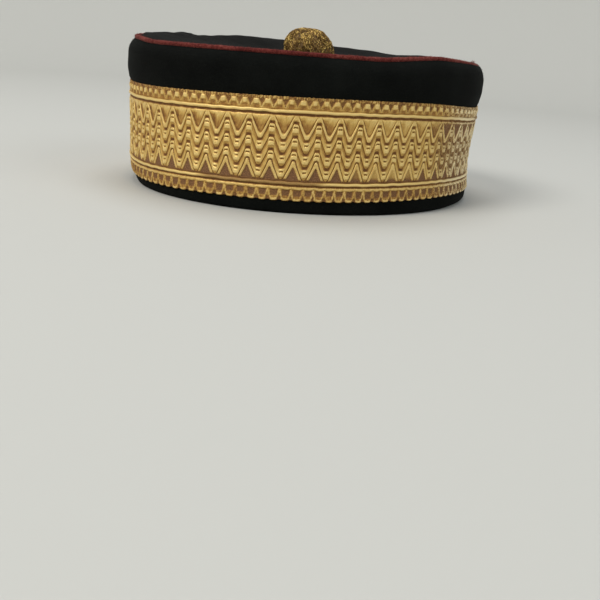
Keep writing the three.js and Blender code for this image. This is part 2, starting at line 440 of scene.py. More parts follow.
# %% [markdown]
# ## Finishes
# A finish is a small tree of nodes. The helper below makes one node and sets or links its
# inputs, so that each finish reads as a short list. Numbers that are the same all over a piece,
# such as its sheen, are set on the shader itself.

# %% Helper for finishes


class Finish:
    """A material under construction: node() makes a node, and use() joins one to the shader."""

    def __init__(self, name, **settings):
        self.material = bpy.data.materials.new(name)
        self.material.use_nodes = True
        self.tree = self.material.node_tree
        self.shader = self.tree.nodes["Principled BSDF"]
        for socket, value in settings.items():
            self.shader.inputs[socket.replace("_", " ")].default_value = value

    def node(self, kind, inputs, **settings):
        made = self.tree.nodes.new("ShaderNode" + kind)
        for key, value in settings.items():
            setattr(made, key, value)
        for key, value in inputs.items():
            if isinstance(value, bpy.types.NodeSocket):
                self.tree.links.new(value, made.inputs[key])
            else:
                made.inputs[key].default_value = value
        return made

    def place(self):
        """The place on the piece, in metres."""
        return self.node("TexCoord", {}).outputs["Object"]

    def kept(self, name, output="Fac"):
        """A number or a place that each point of the piece keeps."""
        return self.node("Attribute", {}, attribute_name=name).outputs[output]

    def noise(self, place, scale, detail, **inputs):
        inputs = {"Vector": place, "Scale": scale, "Detail": detail, **inputs}
        return self.node("TexNoise", inputs).outputs["Fac"]

    def math(self, operation, first, second, **settings):
        return self.node("Math", {0: first, 1: second}, operation=operation, **settings).outputs[0]

    def scaled(self, value, start, end, at_start, at_end):
        """Turns a value between start and end into one between at_start and at_end."""
        inputs = {"Value": value, "From Min": start, "From Max": end, "To Min": at_start, "To Max": at_end}
        return self.node("MapRange", inputs).outputs[0]

    def ramp(self, value, stops):
        """A colour ramp through stops of (place, colour)."""
        made = self.node("ValToRGB", {"Fac": value})
        elements = made.color_ramp.elements
        while len(elements) < len(stops):
            elements.new(0.5)
        for element, (place, tint) in zip(elements, stops):
            element.position = place
            element.color = tint
        return made.outputs["Color"]

    def mix(self, share, first, second):
        return self.node("Mix", {0: share, 6: first, 7: second}, data_type="RGBA").outputs[2]

    def bump(self, height, strength, depth, under=None):
        """A bump of a depth in millimetres, on top of another one if it is given."""
        inputs = {"Height": height, "Strength": strength, "Distance": depth * MM}
        if under:
            inputs["Normal"] = under
        return self.node("Bump", inputs).outputs["Normal"]

    def use(self, socket, value):
        self.tree.links.new(value, self.shader.inputs[socket])


def colour(red, green, blue):
    """A colour as it looks on a screen, 0 to 255, turned into the light that a shader works in."""
    def light(value):
        share = value / 255
        return share / 12.92 if share <= 0.04045 else ((share + 0.055) / 1.055) ** 2.4
    return (light(red), light(green), light(blue), 1)


print(f"a middle grey on a screen is {colour(128, 128, 128)[0]:.2f} of the light of white")

# %% [markdown]
# ## Black cloth
# The side and the top are a dense black wool cloth, milled until the weave is hidden under a
# short nap. What tells it from plain black plastic is a soft grain, small differences of shade
# where the nap lies another way, and a little sheen at its edges. Noise at three sizes does
# that, with a bump from the finest two. The top is painted a shade greyer than the side: a
# painted sheen for the light it catches where it is seen at a low angle.

# %% Black cloth
CLOTH_GRAIN = 1.6        # grains of the nap to a millimetre
CLOTH_FIBRES = 0.56      # tangled fibres to a millimetre
CLOTH_PATCH = 0.045      # patches of brushed nap to a millimetre


def black_cloth(name, dark, light, sheen, grain_depth):
    finish = Finish(
        name, Roughness=0.95, Sheen_Weight=sheen, Sheen_Roughness=0.45,
        Sheen_Tint=colour(150, 150, 148), Specular_IOR_Level=0.06,
    )
    place = finish.place()
    grain = finish.noise(place, CLOTH_GRAIN / MM, 3, Roughness=0.65)
    patch = finish.noise(place, CLOTH_PATCH / MM, 3)
    fibre = finish.noise(place, CLOTH_FIBRES / MM, 2, Distortion=2.5)
    shade = finish.mix(0.5, finish.mix(0.5, grain, fibre), patch)
    finish.use("Base Color", finish.ramp(shade, [(0.36, dark), (0.64, light)]))
    coarse = finish.bump(fibre, 0.35, grain_depth * 1.5)
    finish.use("Normal", finish.bump(grain, 0.6, grain_depth, coarse))
    return finish.material


side_finish = black_cloth("side_cloth", colour(7, 8, 7), colour(19, 21, 19), 0.02, 0.12)
# the top's lighter colours are a painted sheen, for the light it catches at a low angle
crown_finish = black_cloth("crown_cloth", colour(10, 10, 9), colour(29, 29, 28), 0.03, 0.18)
print("made", side_finish.name, "and", crown_finish.name)

# %% [markdown]
# ## The side
# The side is one strip of stiffened cloth, folded under at the bottom and rounded in at the top
# to meet the seam. Its section is drawn as a closed outline: round the fold, up the outer face,
# over the full shoulder, down beside the piping to the seam, and back down the inner face. The
# outline is then carried round the cap. The cloth puffs up beside the piping and hides its foot,
# which is what makes a piped seam look sewn, and not like a ring laid on top. A little unevenness
# keeps the cloth from looking turned on a lathe.

# %% Section of the side
AROUND = 620            # points round the cap, in cloth
FOLD_HEIGHT = 1.6
FOLD_STEPS = 9
WALL_STEPS = 36
SHOULDER_STEPS = 16
SHOULDER_DROOP = 1.8    # 1 would be a plain quarter of an oval
SHOULDER_RISE = 0.9
BED_RADIUS = 1.32       # of the bed that the piping lies in
BED_START, BED_END = math.radians(-35), math.radians(-95)
BED_STEPS = 5
INNER_STEPS = 8
OUTER_ROWS = FOLD_STEPS + WALL_STEPS + SHOULDER_STEPS - 2   # rows up to the lip beside the piping


def pointing(turn):
    return np.array([math.cos(turn), math.sin(turn)])


def side_section():
    """Radius and height of each row of the side, from the inner foot round to the inner face."""
    half = SIDE_THICKNESS / 2
    fold = np.linspace(-math.pi, 0, FOLD_STEPS)
    rows = [(SIDE_RADIUS - half + half * math.cos(a), FOLD_HEIGHT * (1 + math.sin(a))) for a in fold]
    for height in np.linspace(FOLD_HEIGHT, WIDEST_HEIGHT, WALL_STEPS)[1:]:
        rows.append((side_outside(height), height))
    lip = piping_middle + BED_RADIUS * pointing(BED_START)
    depth, rise = WIDEST_RADIUS - lip[0], lip[1] - WIDEST_HEIGHT
    for angle in np.linspace(0, math.pi / 2, SHOULDER_STEPS)[1:]:
        in_by = depth * (1 - max(math.cos(angle), 0) ** SHOULDER_DROOP)
        rows.append((WIDEST_RADIUS - in_by, WIDEST_HEIGHT + rise * math.sin(angle) ** SHOULDER_RISE))
    for angle in np.linspace(BED_START, BED_END, BED_STEPS)[1:]:
        rows.append(piping_middle + BED_RADIUS * pointing(angle))
    inner = np.array([SHOULDER_DEPTH, SHOULDER_HEIGHT]) - SIDE_THICKNESS
    for angle in np.linspace(SHOULDER_TURN, 0, SHOULDER_STEPS // 2):
        rows.append(shoulder_middle + inner * pointing(angle))
    for height in np.linspace(WIDEST_HEIGHT, FOLD_HEIGHT, INNER_STEPS)[1:-1]:
        rows.append((side_outside(height) - SIDE_THICKNESS, height))
    return np.array([[float(radius), float(height)] for radius, height in rows])


print("the side's section has", len(side_section()), "rows")

# %% Side
SIDE_UNEVEN = 0.12
OVER_LACE = 1           # the cloth bulges this far over the lace's upper edge
BULGE_START, BULGE_FULL = -0.2, 1.6     # above the lace's edge
BULGE_FADE = 7          # below the widest place
LIP_AT, LIP_WIDE = 36, 30               # the cloth stands higher beside the piping on the right
LIP_RISE = 0.9
LIP_OUT = 0.4
LIP_START, LIP_FULL = 2, -0.8           # above the widest place, and above the piping's middle


def make_side():
    section = side_section()
    angle = round_angles(AROUND)
    height = section[:, 1:]
    radius = section[:, :1] + SIDE_UNEVEN * uneven(angle, height / 9, 1, high=14)
    lace_top = lace_height(angle, 0)
    above = smooth(lace_top + BULGE_START, lace_top + BULGE_FULL, height)
    radius = radius + OVER_LACE * above * fade(WIDEST_HEIGHT - BULGE_FADE, WIDEST_HEIGHT, height)
    lip = smooth(WIDEST_HEIGHT + LIP_START, piping_middle[1] + LIP_FULL, height)
    lip = lip * bell(from_direction(np.degrees(angle), LIP_AT), LIP_WIDE)
    lip = lip * (np.arange(len(section))[:, None] < OUTER_ROWS)
    points = to_cap(radius + LIP_OUT * lip, angle, height)
    points[..., 2] += LIP_RISE * lip
    faces = grid_faces(len(section), AROUND)
    add_piece("side_cloth", points, faces, "side_wall", side_finish)
    return points


side_points = make_side()

# %% [markdown]
# ## The top
# The top is a disc of the same cloth, sewn round its edge. It is pulled down under the button
# and puffs up just inside the seam, fullest at the back, where it also has some small folds and
# one sharper pleat. The disc is a grid in rings: the rings lie closer together near the rim,
# where the shape is. Shallow gathers run in from the seam, as they do when a flat disc is eased
# into a ring.

# %% Folds of the top
EASE_GATHERS = 44
GATHER_RISE = 0.11
SOFT_RISE = 0.3

# small folds just inside the seam: where they lie in degrees, how wide, and how many mm they rise
Fold = namedtuple("Fold", "at wide up")
CROWN_FOLDS = [
    Fold(101, 9, 0.5),
    Fold(170, 9, 0.35),
    Fold(211, 3.5, 0.5),
    Fold(222, 7, 0.9),
    Fold(240, 13, 1.9),
]
PLEAT_AT, PLEAT_END = 184.5, 200    # the pleat rises quickly here, and has faded out there
PLEAT_EDGE = 1
PLEAT_FLAT = 4
PLEAT_UP = 0.9
PLEAT_SLANT = 150       # degrees that it would turn on its way from the seam to the middle


def crown_relief(share, angle):
    """Gathers and folds near the seam and a general softness, in millimetres."""
    degrees = np.degrees(angle)
    sewn = fade(0.97, 1, share)
    gathers = np.sin(EASE_GATHERS * angle + 2.2 * np.sin(5 * angle))
    gathers = gathers * (0.5 + 0.5 * uneven(angle, 0 * share, 3))
    folds = sum(fold.up * bell(degrees - fold.at, fold.wide) for fold in CROWN_FOLDS)
    turned = degrees - PLEAT_SLANT * (1 - share)
    pleat = smooth(PLEAT_AT - PLEAT_EDGE, PLEAT_AT + PLEAT_EDGE, turned)
    folds = folds + PLEAT_UP * pleat * fade(PLEAT_AT + PLEAT_FLAT, PLEAT_END, turned)
    soft = SOFT_RISE * uneven(angle, share * 9, 4, high=7) * smooth(0.2, 0.5, share)
    return (GATHER_RISE * gathers + folds) * smooth(0.6, 0.93, share) * sewn + soft * sewn


print("the top has", len(CROWN_FOLDS), "small folds and a pleat")

# %% Top
CROWN_RINGS = 70
CROWN_UNDER_RINGS = 8
CROWN_MIDDLE = 0.04     # radius of the small hole under the button
RINGS_END = 0.985      # share of the radius where the rings meet the rounded edge
RING_CROWDING = 1.5
EDGE_TURN = math.radians(80)
EDGE_STEPS = 6
UNDER_START = 0.96


def crown_section():
    """Rows of the top from the middle out to the seam, round its edge and back underneath."""
    inner = CROWN_MIDDLE / CROWN_RADIUS
    ring = 1 - (1 - np.linspace(0, 1, CROWN_RINGS)) ** RING_CROWDING
    rows = [(s * CROWN_RADIUS, crown_height(s), 1) for s in inner + (RINGS_END - inner) * ring]
    for turn in np.linspace(0, EDGE_TURN, EDGE_STEPS):
        inward = along_cloth * math.cos(turn) - out_of_cloth * math.sin(turn)
        rows.append((*(piping_middle + PIPING_REACH * inward), 0))
    rows.append((*(seam_corner + along_cloth * SEAM_GAP - out_of_cloth * CROWN_THICKNESS), 0))
    for s in np.linspace(UNDER_START, inner, CROWN_UNDER_RINGS):
        rows.append((s * CROWN_RADIUS, crown_height(s) - CROWN_THICKNESS, 0))
    return np.array(rows, float)


def make_crown():
    section = crown_section()
    angle = round_angles(AROUND)
    radius, height, upper = (section[:, k:k + 1] for k in range(3))
    points = to_cap(radius, angle, height)
    points[..., 2] += crown_relief(radius / CROWN_RADIUS, angle) * upper
    faces = grid_faces(len(section), AROUND)
    add_piece("crown_cloth", points, faces, "crown_top", crown_finish)
    return points


crown_points = make_crown()

# %% [markdown]
# ## The red piping
# The piping is a cord wrapped in a narrow strip of red wool cloth and caught in the seam. It
# is lumpy where the stitches pull it in and where the strip's edges lie under it. It is made
# as a tube whose thickness wanders a little. Its colour partly follows the grain of its bump,
# so it is painted darker in the hollows and lighter on the rises: painted shade and highlight
# over the wool's own mottling.

# %% Red wool
PIPING_GRAIN = 1.1      # grains to a millimetre
PIPING_PATCH = 0.09
# from a shadowed dark red to a highlighted pink: painted shade and painted highlight, with the wool's own
# red between
PIPING_REDS = [(0.36, colour(56, 18, 16)), (0.5, colour(92, 34, 30)), (0.66, colour(126, 66, 58))]


def red_wool():
    finish = Finish(
        "piping_wool", Roughness=0.9, Sheen_Weight=0.16, Sheen_Roughness=0.5,
        Sheen_Tint=colour(215, 150, 140), Specular_IOR_Level=0.12,
    )
    place = finish.place()
    grain = finish.noise(place, PIPING_GRAIN / MM, 4, Distortion=1)
    patch = finish.noise(place, PIPING_PATCH / MM, 3)
    finish.use("Base Color", finish.ramp(finish.mix(0.4, grain, patch), PIPING_REDS))
    finish.use("Normal", finish.bump(grain, 0.7, 0.22))
    return finish.material


piping_finish = red_wool()
print("made", piping_finish.name)

# %% Piping
PIPING_AROUND = 1400
PIPING_SIDES = 10
PIPING_STITCH = 3.4     # millimetres from one stitch to the next
PIPING_DRAWN = 0.95     # the thread draws it in to this share of its size
STITCH_LUMPS = 0.035
STRIP_LUMPS = 0.05


def make_piping():
    angle = round_angles(PIPING_AROUND)
    turn = round_angles(PIPING_SIDES)[:, None]
    stitches = round(math.tau * piping_middle[0] / PIPING_STITCH)
    lumps = STITCH_LUMPS * np.sin(stitches * angle + 1.5 * np.sin(9 * angle))
    lumps = lumps + STRIP_LUMPS * uneven(angle, np.cos(turn) * 2, 6, waves=12, low=9, high=90)
    reach = PIPING_DIAMETER / 2 * (PIPING_DRAWN + lumps)
    points = to_cap(
        piping_middle[0] + reach * np.cos(turn), angle, piping_middle[1] + reach * np.sin(turn)
    )
    faces = grid_faces(PIPING_SIDES, PIPING_AROUND)
    add_piece("piping_cord", points, faces, "piping", piping_finish)
    return points


piping_points = make_piping()

# %% [markdown]
# ## The gold lace: how it is laid out
# The lace is a ribbon woven with gilt thread. Its ground is one long zigzag that comes back 57
# times round the cap, between two plain cords, with a small toothed border outside each cord.
# A photograph on a flat strip would look painted, so the weave is modelled: the strip is a
# fine grid whose rows follow the zigzag lines, and each point is raised or sunk by a chart of
# the pattern. Every place on the lace is given by its distance along and its distance down
# from the upper edge.

# %% Lace layout
REPEATS = 57
REPEAT_COLUMNS = 26
LACE_COLUMNS = REPEATS * REPEAT_COLUMNS
LACE_BACK = 0.06        # the lace lies this far out from the cloth
LACE_BODY = 0.35        # thickness of its sunk ground
LACE_RELIEF = 0.8       # how far the highest thread stands above the ground
PEAK_AT = 503.95        # where one of the zigzag's peaks lies, in mm along from +X
PULL = 1.35             # the lace was stretched by this much near its front
PULL_AT = 505
PULL_WIDTH = 16
MEASURE_STEPS = 7200
MIDDLE_OUT = 1.2        # the lace's length is measured this far out from the cloth


def lace_place(angle, down, out):
    """Point on the cap for a place on the lace, out mm away from the cloth."""
    height = lace_height(angle, down)
    return to_cap(side_outside(height) + out, angle, height)


def measure_lace():
    """Angles round the cap, and the length of lace from the first of them to each."""
    angle = np.linspace(0, math.tau, MEASURE_STEPS + 1)
    middle = lace_place(angle, LACE_WIDTH / 2, MIDDLE_OUT)
    steps = np.linalg.norm(np.diff(middle, axis=0), axis=1)
    return angle, np.concatenate([[0], np.cumsum(steps)])


lace_angles, lace_lengths = measure_lace()
LACE_LENGTH = lace_lengths[-1]
REPEAT = LACE_LENGTH / REPEATS
HALF = REPEAT / 2
column_along = np.arange(LACE_COLUMNS) * REPEAT / REPEAT_COLUMNS
pulled = column_along + PEAK_AT % REPEAT
pulled = pulled + PULL * np.exp(-((pulled - PULL_AT) / PULL_WIDTH) ** 2 / 2)
column_angle = np.interp(np.mod(pulled, LACE_LENGTH), lace_lengths, lace_angles)
from_peak = np.abs((column_along + HALF) % REPEAT - HALF)
from_column = np.minimum(from_peak, HALF - from_peak)
from_leg = (column_along + HALF / 2) % HALF - HALF / 2
print(f"lace {LACE_LENGTH:.1f} mm round, one zigzag in {REPEAT:.2f} mm")

# %% Where light and shade are painted on the lace
# stretches of the lace in degrees round the cap: from where, to where, and how softly they end.
# They mark painted light: shine on the triangles, painted shade and a paler painted highlight on
# the right, where the lace is seen at a grazing angle, painted shade on the left slopes, more
# shine on the lower triangles, and where the raised thread's painted shadow is strongest
PAINTED_SHINE_AT = 330, 354, 7
GRAZING_SHADE_AT = 3, 75, 6
PAINTED_HIGHLIGHT_AT = 10, 80, 10
LEFT_SHADE_AT = 200, 262, 12
LEGS_SHINE_AT = 215, 265, 8
SHADED = 215, 295, 12
SHADED_SIDE = 0.06, 0.42, 0.1       # of each triangle, as shares of a repeat after its peak

column_degrees = np.degrees(column_angle)
# painted shine: the triangles are kept golden where they reflect the light
painted_shine = within(column_degrees, *PAINTED_SHINE_AT)
# painted shade: the lace turns brown and dull where it is seen at a grazing angle on the right
grazing_shade = within(column_degrees, *GRAZING_SHADE_AT)
# painted shade on the left slopes, so that the buckles there stand out like bright beads
left_shade = within(column_degrees, *LEFT_SHADE_AT)
# painted shine on the lower triangles, on the left as well
legs_painted_shine = np.maximum(painted_shine, 0.7 * within(column_degrees, *LEGS_SHINE_AT))
after_peak = column_along % REPEAT / REPEAT
# painted shadow of the raised thread on one side of each satin triangle, stronger on the left
lace_shaded = within(after_peak, *SHADED_SIDE) * (0.65 + 0.35 * within(column_degrees, *SHADED))
lace_dice = np.random.default_rng(SEED)
dash = lace_dice.uniform(0, 1, LACE_COLUMNS)


def luck(number):
    """Two random numbers for each block or leg, where number says on which one a column lies."""
    return lace_dice.uniform(-1, 1, (2, REPEATS * 2))[:, number]


block_luck = luck((column_along / HALF).astype(int))
leg_luck = luck(np.rint(column_along / HALF).astype(int) % (REPEATS * 2))
# counts the columns of painted grazing shade
print("rubbed columns:", int((grazing_shade > 0.5).sum()), "of", LACE_COLUMNS)

# %% [markdown]
# ## The gold lace: the chart of the zigzags
# Four dark lines A to D run in zigzags under one another, and the bands between them climb
# from each line to the next, like roof tiles. At every peak and valley the band is crossed by
# a dark lens, and under it by a bright buckle with a slit: a bar, a thin dark slit and a broad
# block of floating thread, all of them level. Above line A lie a raised zigzag thread and satin
# triangles, and under line D a second thread with dull triangles between its legs. The chart
# gives three numbers for each place: a height and a shade, between 0 for the deepest and
# darkest and 1 for the highest and brightest, and how dull it is. The shade paints light as
# well as colour: painted shade low on each slope and under each buckle, painted highlights on
# the ridges and buckles, a painted shadow of the raised thread on the satin, painted shine on
# the triangles where they reflect the light, and on the right, where the lace is seen at a
# grazing angle, triangles and slopes painted dull brown, a painted shade.

# %% Threads of the zigzags
ZIGZAG_FALL = 7.65
ZIGZAG_ROUND = 0.3      # how softly a line turns at its peaks and valleys
PEAK_FLAT = 0.85
VALLEY_FLAT = 0.65
LINE_A, LINE_B, LINE_C, LINE_D = 10.75, 16.6, 22.4, 26.5
LINE_D_DROP = 1.3       # line D lies this much lower on the slopes than at the peaks
SATIN_TOP = 7.6
SATIN_START, SATIN_END = 8.2, 12.8
UPPER_THREAD = 9.15
UPPER_THREAD_HALF = 1.25
LOWER_THREAD_TOP, LOWER_THREAD_FOOT = 28.2, 31.1
LEGS_END = 35
GROUND_FOOT = 35.9
LENS_TOP, LENS_FOOT, LENS_HALF = -0.75, 0.45, 1.25
SLIT_MIDDLE, SLIT_TALL, SLIT_HALF = 1.85, 0.3, 1.05
BUCKLE_HALF = 1.35
BUCKLE_TOP, BUCKLE_FOOT = 0.6, 3.95
LINE_SOFT = 0.14


def tone(height, shade, dull=0):
    """Height, shade and dullness together, to be laid over a sheet of places."""
    return np.stack(np.broadcast_arrays(np.atleast_2d(height), shade, dull))


def laid_over(under, over, share):
    """What shows where something covers a share of what lies under it."""
    return under + (over - under) * share


def zigzag(across):
    """Distance down from the peak of a zigzag line, across mm aside from the peak."""
    def eased(value):
        return (value + np.sqrt(value * value + ZIGZAG_ROUND ** 2)) / 2

    def fall(value):
        return eased(value - PEAK_FLAT) - eased(value - (HALF - VALLEY_FLAT))
    return ZIGZAG_FALL * (fall(across) - fall(0)) / (fall(HALF) - fall(0))


def hump(value, middle, half):
    """A round ridge: 1 at its middle, 0 at its edges."""
    return np.sqrt(np.clip(1 - ((value - middle) / half) ** 2, 0, 1))


def lens_under(line, level):
    """The dark lens where a line turns: 1 in it and 0 round it."""
    tall = within(level, line + LENS_TOP, line + LENS_FOOT, LINE_SOFT)
    return tall * fade(LENS_HALF - 0.2, LENS_HALF + 0.1, from_column)


print(f"the zigzag falls {float(zigzag(np.array(HALF))):.2f} mm from peak to valley")

# %% Bands between the lines
# the slopes' shades are painted light: painted shade low under each upper line, rising to a painted
# highlight on the ridge above the lower line, over the real relief
SLOPE_FOOT = tone(0.12, 0.36)
SLOPE_CLIMB = tone(0.22, 0.14)
SLOPE_RIDGE = tone(0.26, 0.2)
SLOPE_LOW = 0.3         # what is left of the slope at its two edges
# painted shade on the left: the slopes lose height and shade there
LEFT_SHADE_LOSS = tone(0.35, 0.3)
# painted shade on the grazing stretch at the right: the slopes darken and turn dull there
GRAZING_SHADE_LOSS = tone(0, 0.35)
BUCKLE_LOW, BUCKLE_ROUND = 0.8, 0.2
BUCKLE_SHADE = 0.97
BUCKLE_SHADOW = 0.32    # cast on the slope under a buckle
DARK_GAP = 0.9          # how dark lenses and slits are
GRAZING_DULL = 0.4
BUCKLE_KEPT = 0.6       # how much of that doesn't reach a buckle


def chart_band(fall, level, start, end):
    """The band between two dark lines: a climbing slope, crossed by level buckles."""
    depth, width = fall - start, end - start
    level = level - start
    climb = smooth(0.05, 0.9, depth / width)
    ridge = hump(depth / width, 0.66, 0.34)
    # the slopes are made lower and painted darker on the left, a painted shade
    slope = (SLOPE_FOOT + SLOPE_CLIMB * climb + SLOPE_RIDGE * ridge) * (1 - LEFT_SHADE_LOSS * left_shade)
    near = fade(BUCKLE_HALF - 0.25, BUCKLE_HALF + 0.1, from_column)
    buckle = near * within(level, BUCKLE_TOP, BUCKLE_FOOT, 0.2)
    block = hump(level, (SLIT_MIDDLE + BUCKLE_FOOT) / 2, 1.5) * hump(from_column, 0, BUCKLE_HALF + 0.2)
    look = laid_over(slope, tone(BUCKLE_LOW + BUCKLE_ROUND * block, BUCKLE_SHADE), buckle)
    # painted shade: the slopes darken on the grazing stretch at the right
    look = look * (1 - GRAZING_SHADE_LOSS * grazing_shade * (1 - buckle))
    slit = within(level, SLIT_MIDDLE - SLIT_TALL, SLIT_MIDDLE + SLIT_TALL, 0.1)
    slit = slit * fade(SLIT_HALF - 0.15, SLIT_HALF + 0.15, from_column)
    shadow = near * smooth(BUCKLE_FOOT - 0.1, BUCKLE_FOOT + 0.25, level)
    edge = smooth(0.1, 0.5, depth) * fade(width - 0.45, width - 0.1, depth)
    edge = SLOPE_LOW + (1 - SLOPE_LOW) * edge
    edge = edge * (1 - DARK_GAP * lens_under(0, level)) * (1 - DARK_GAP * slit)
    edge = edge * (1 - BUCKLE_SHADOW * shadow)
    return look * edge + tone(0, 0, GRAZING_DULL * grazing_shade * (1 - BUCKLE_KEPT * buckle))


print(f"a buckle is {BUCKLE_FOOT - BUCKLE_TOP:.2f} mm tall")

# %% Triangles and raised threads
SATIN_HEIGHT, SATIN_SINKS = 0.66, 0.42
# shares of painted light on the satin: shine where it reflects, brown shade on the grazing stretch, and the
# raised thread's shadow
SATIN_SHADE, SATIN_DARKENS, SATIN_SHINE = 0.8, 0.5, 0.32
SATIN_GRAZING_SHADE = 0.85
SATIN_SHADED, SHADED_LESS = 0.75, 0.45
SATIN_DULL = 0.75
GUTTER_DEEP, GUTTER_DARK = 0.25, 0.8
LEG_LIFT = 1.3          # the lower thread lies this much higher at its peaks


def chart_satin(down, fall):
    """The satin triangles at the top of the ground, and the raised thread under them."""
    satin = smooth(SATIN_START, SATIN_END, down)
    start = smooth(8.0, 8.8, down)
    gutter = within(fall, UPPER_THREAD - 2.1, UPPER_THREAD - 1.05, 0.2) * smooth(0.7, 1.5, from_peak)
    # painted light on the satin: painted shine keeps it golden where it reflects, a brown painted shade
    # darkens it on the grazing stretch, and the raised thread casts a painted shadow on one side
    shade = SATIN_SHADE - (SATIN_DARKENS - SATIN_SHINE * painted_shine) * satin
    shade = shade * (1 - SATIN_GRAZING_SHADE * grazing_shade * start)
    shaded = lace_shaded * (1 - SHADED_LESS * painted_shine) * smooth(8, 9.6, down)
    shade = shade * (1 - SATIN_SHADED * shaded) * (1 - GUTTER_DARK * gutter)
    height = SATIN_HEIGHT - SATIN_SINKS * satin - GUTTER_DEEP * gutter
    thread = hump(fall, UPPER_THREAD, UPPER_THREAD_HALF)
    on_thread = smooth(0.05, 0.4, thread) * smooth(0.2, 1.1, from_peak)
    look = tone(height, shade, SATIN_DULL * grazing_shade * start)
    return laid_over(look, tone(0.3 + 0.6 * thread, 0.86), on_thread)


def chart_legs(down, fall):
    """The lower thread, and the dull triangles between its legs."""
    foot = LOWER_THREAD_FOOT - LEG_LIFT * fade(0.1, 1.1, from_peak)
    top = LOWER_THREAD_TOP - LEG_LIFT * fade(0.2, 1.6, from_peak)
    leg = hump(fall, (top + foot) / 2, (foot - top) / 2)
    on_leg = smooth(0.05, 0.4, leg) * fade(LEGS_END - 0.3, LEGS_END + 0.4, down) * fade(3.7, 4.3, from_peak)
    # the dull triangles are painted gold and made less dull where painted shine lies
    height = 0.16 + 0.1 * legs_painted_shine * fade(31, 35, down) + (0.1 + 0.55 * leg) * on_leg
    shade = laid_over(0.12 + 0.5 * legs_painted_shine * fade(32.5, 35.5, down), 0.78, on_leg)
    return tone(height, shade, (1 - on_leg) * (1 - 0.85 * legs_painted_shine * fade(33, 35.6, down)))


print(f"the satin darkens over {SATIN_END - SATIN_START:.1f} mm")

# %% The whole ground
LINE_DARK = tone(0.9, 0.72)
LENS_DARK = tone(1, 0.9)
LAST_LINE_DARK = tone(1, 0.62)


def chart_ground(down):
    """Height, shade and dullness of the zigzag ground."""
    fall = down - zigzag(from_peak)
    level = np.where(from_peak < HALF / 2, down, down - ZIGZAG_FALL)
    last = LINE_D + LINE_D_DROP * smooth(0, 2.5, from_peak)
    look = chart_satin(down, fall)
    for start, end in ((LINE_A, LINE_B), (LINE_B, LINE_C), (LINE_C, last)):
        look = np.where(fall > start, chart_band(fall, level, start, end), look)
    look = np.where(fall > last, chart_legs(down, fall), look)
    for line in (LINE_A, LINE_B, LINE_C):
        dark = LINE_DARK * within(fall, line - 0.3, line + 0.18, LINE_SOFT)
        look = look * (1 - np.maximum(dark, LENS_DARK * lens_under(line, level) * (fall < line)))
    look = look * (1 - LAST_LINE_DARK * within(fall, last - 0.25, last + 0.4, 0.16))
    start = fade(SATIN_TOP - 0.25, SATIN_TOP + 0.3, down)
    return look * (1 - np.maximum(start, smooth(GROUND_FOOT - 0.5, GROUND_FOOT, down)))


two_rows = np.full((2, LACE_COLUMNS), LINE_A)
print("the chart of two rows holds", chart_ground(two_rows).shape, "numbers")

# %% [markdown]
# ## The gold lace: the chart of the borders
# Outside the upper cord stands a row of bright blocks between dark wedges, with a thin thread
# that dips in a V round each wedge, and above them the plain dull selvage. Outside the lower
# cord lies a scalloped line, then dark brown panels between small legs, and at the very edge
# the thread turns from leg to leg in loops. Both borders repeat twice in each zigzag.

# %% Upper border
SELVAGE_FOOT = 1.1
BLOCK_TOP, BLOCK_FOOT = 1.15, 3.1
BLOCK_HALF, BLOCK_TAPER = 1.2, 0.16
V_FOOT, V_SLOPE = 4.55, 1.75
V_HALF = 0.62
WEDGE_FOOT = 3.75
WEDGE_SLOPE = 2.0125
NOTCH_TOP, NOTCH_FOOT = 3.7, 4.95
NOTCH_DARK = tone(0.7, 0.4)
UPPER_BORDER_FOOT = 5.1


def chart_upper_border(down):
    """Height, shade and dullness of the border above the upper cord."""
    from_block = HALF / 2 - from_column
    selvage = fade(SELVAGE_FOOT - 0.2, SELVAGE_FOOT + 0.2, down)
    height = 0.3 + 0.25 * (dash - 0.3) * selvage
    # the ground of the border is painted darker on the left, a painted shade
    shade = 0.44 * (1 - 0.5 * left_shade) + (0.62 * dash ** 2 - 0.3) * selvage
    wide = BLOCK_HALF - BLOCK_TAPER * (down - BLOCK_TOP) + 0.2 * block_luck[0]
    block = within(down, BLOCK_TOP, BLOCK_FOOT + 0.25 * block_luck[1], 0.2)
    block = block * fade(wide - 0.2, wide + 0.25, from_block)
    look = laid_over(tone(height, shade), tone(0.95, 0.92 + 0.1 * block_luck[1]), block)
    wedge = fade(0.9, 1.2, from_column / np.maximum(WEDGE_FOOT - down, 0.02) * WEDGE_SLOPE)
    wedge = wedge * smooth(0.7, 1.1, down)
    # painted shadow under each block, darkening the brown ground there
    notch = within(down, NOTCH_TOP - 0.2 * from_column, NOTCH_FOOT, 0.25) * fade(1, 1.5, from_block)
    look = look * (1 - np.maximum(tone(0.85, 0.72 + 0.1 * leg_luck[1]) * wedge, NOTCH_DARK * notch))
    vee = hump(down, V_FOOT - V_SLOPE * from_column + 0.15 * leg_luck[0], V_HALF)
    vee = vee * fade(1.1, 1.45, from_column)
    look = laid_over(look, tone(0.25 + 0.4 * vee, 0.66 + 0.12 * leg_luck[0]), smooth(0.1, 0.5, vee))
    look = look * (1 - tone(1, 0.8) * smooth(UPPER_BORDER_FOOT - 0.25, UPPER_BORDER_FOOT, down))
    return look + tone(0, 0, 0.3 * (1 - dash) * selvage + 0.2 * wedge)


print("blocks and wedges of the upper border:", REPEATS * 2, "each")

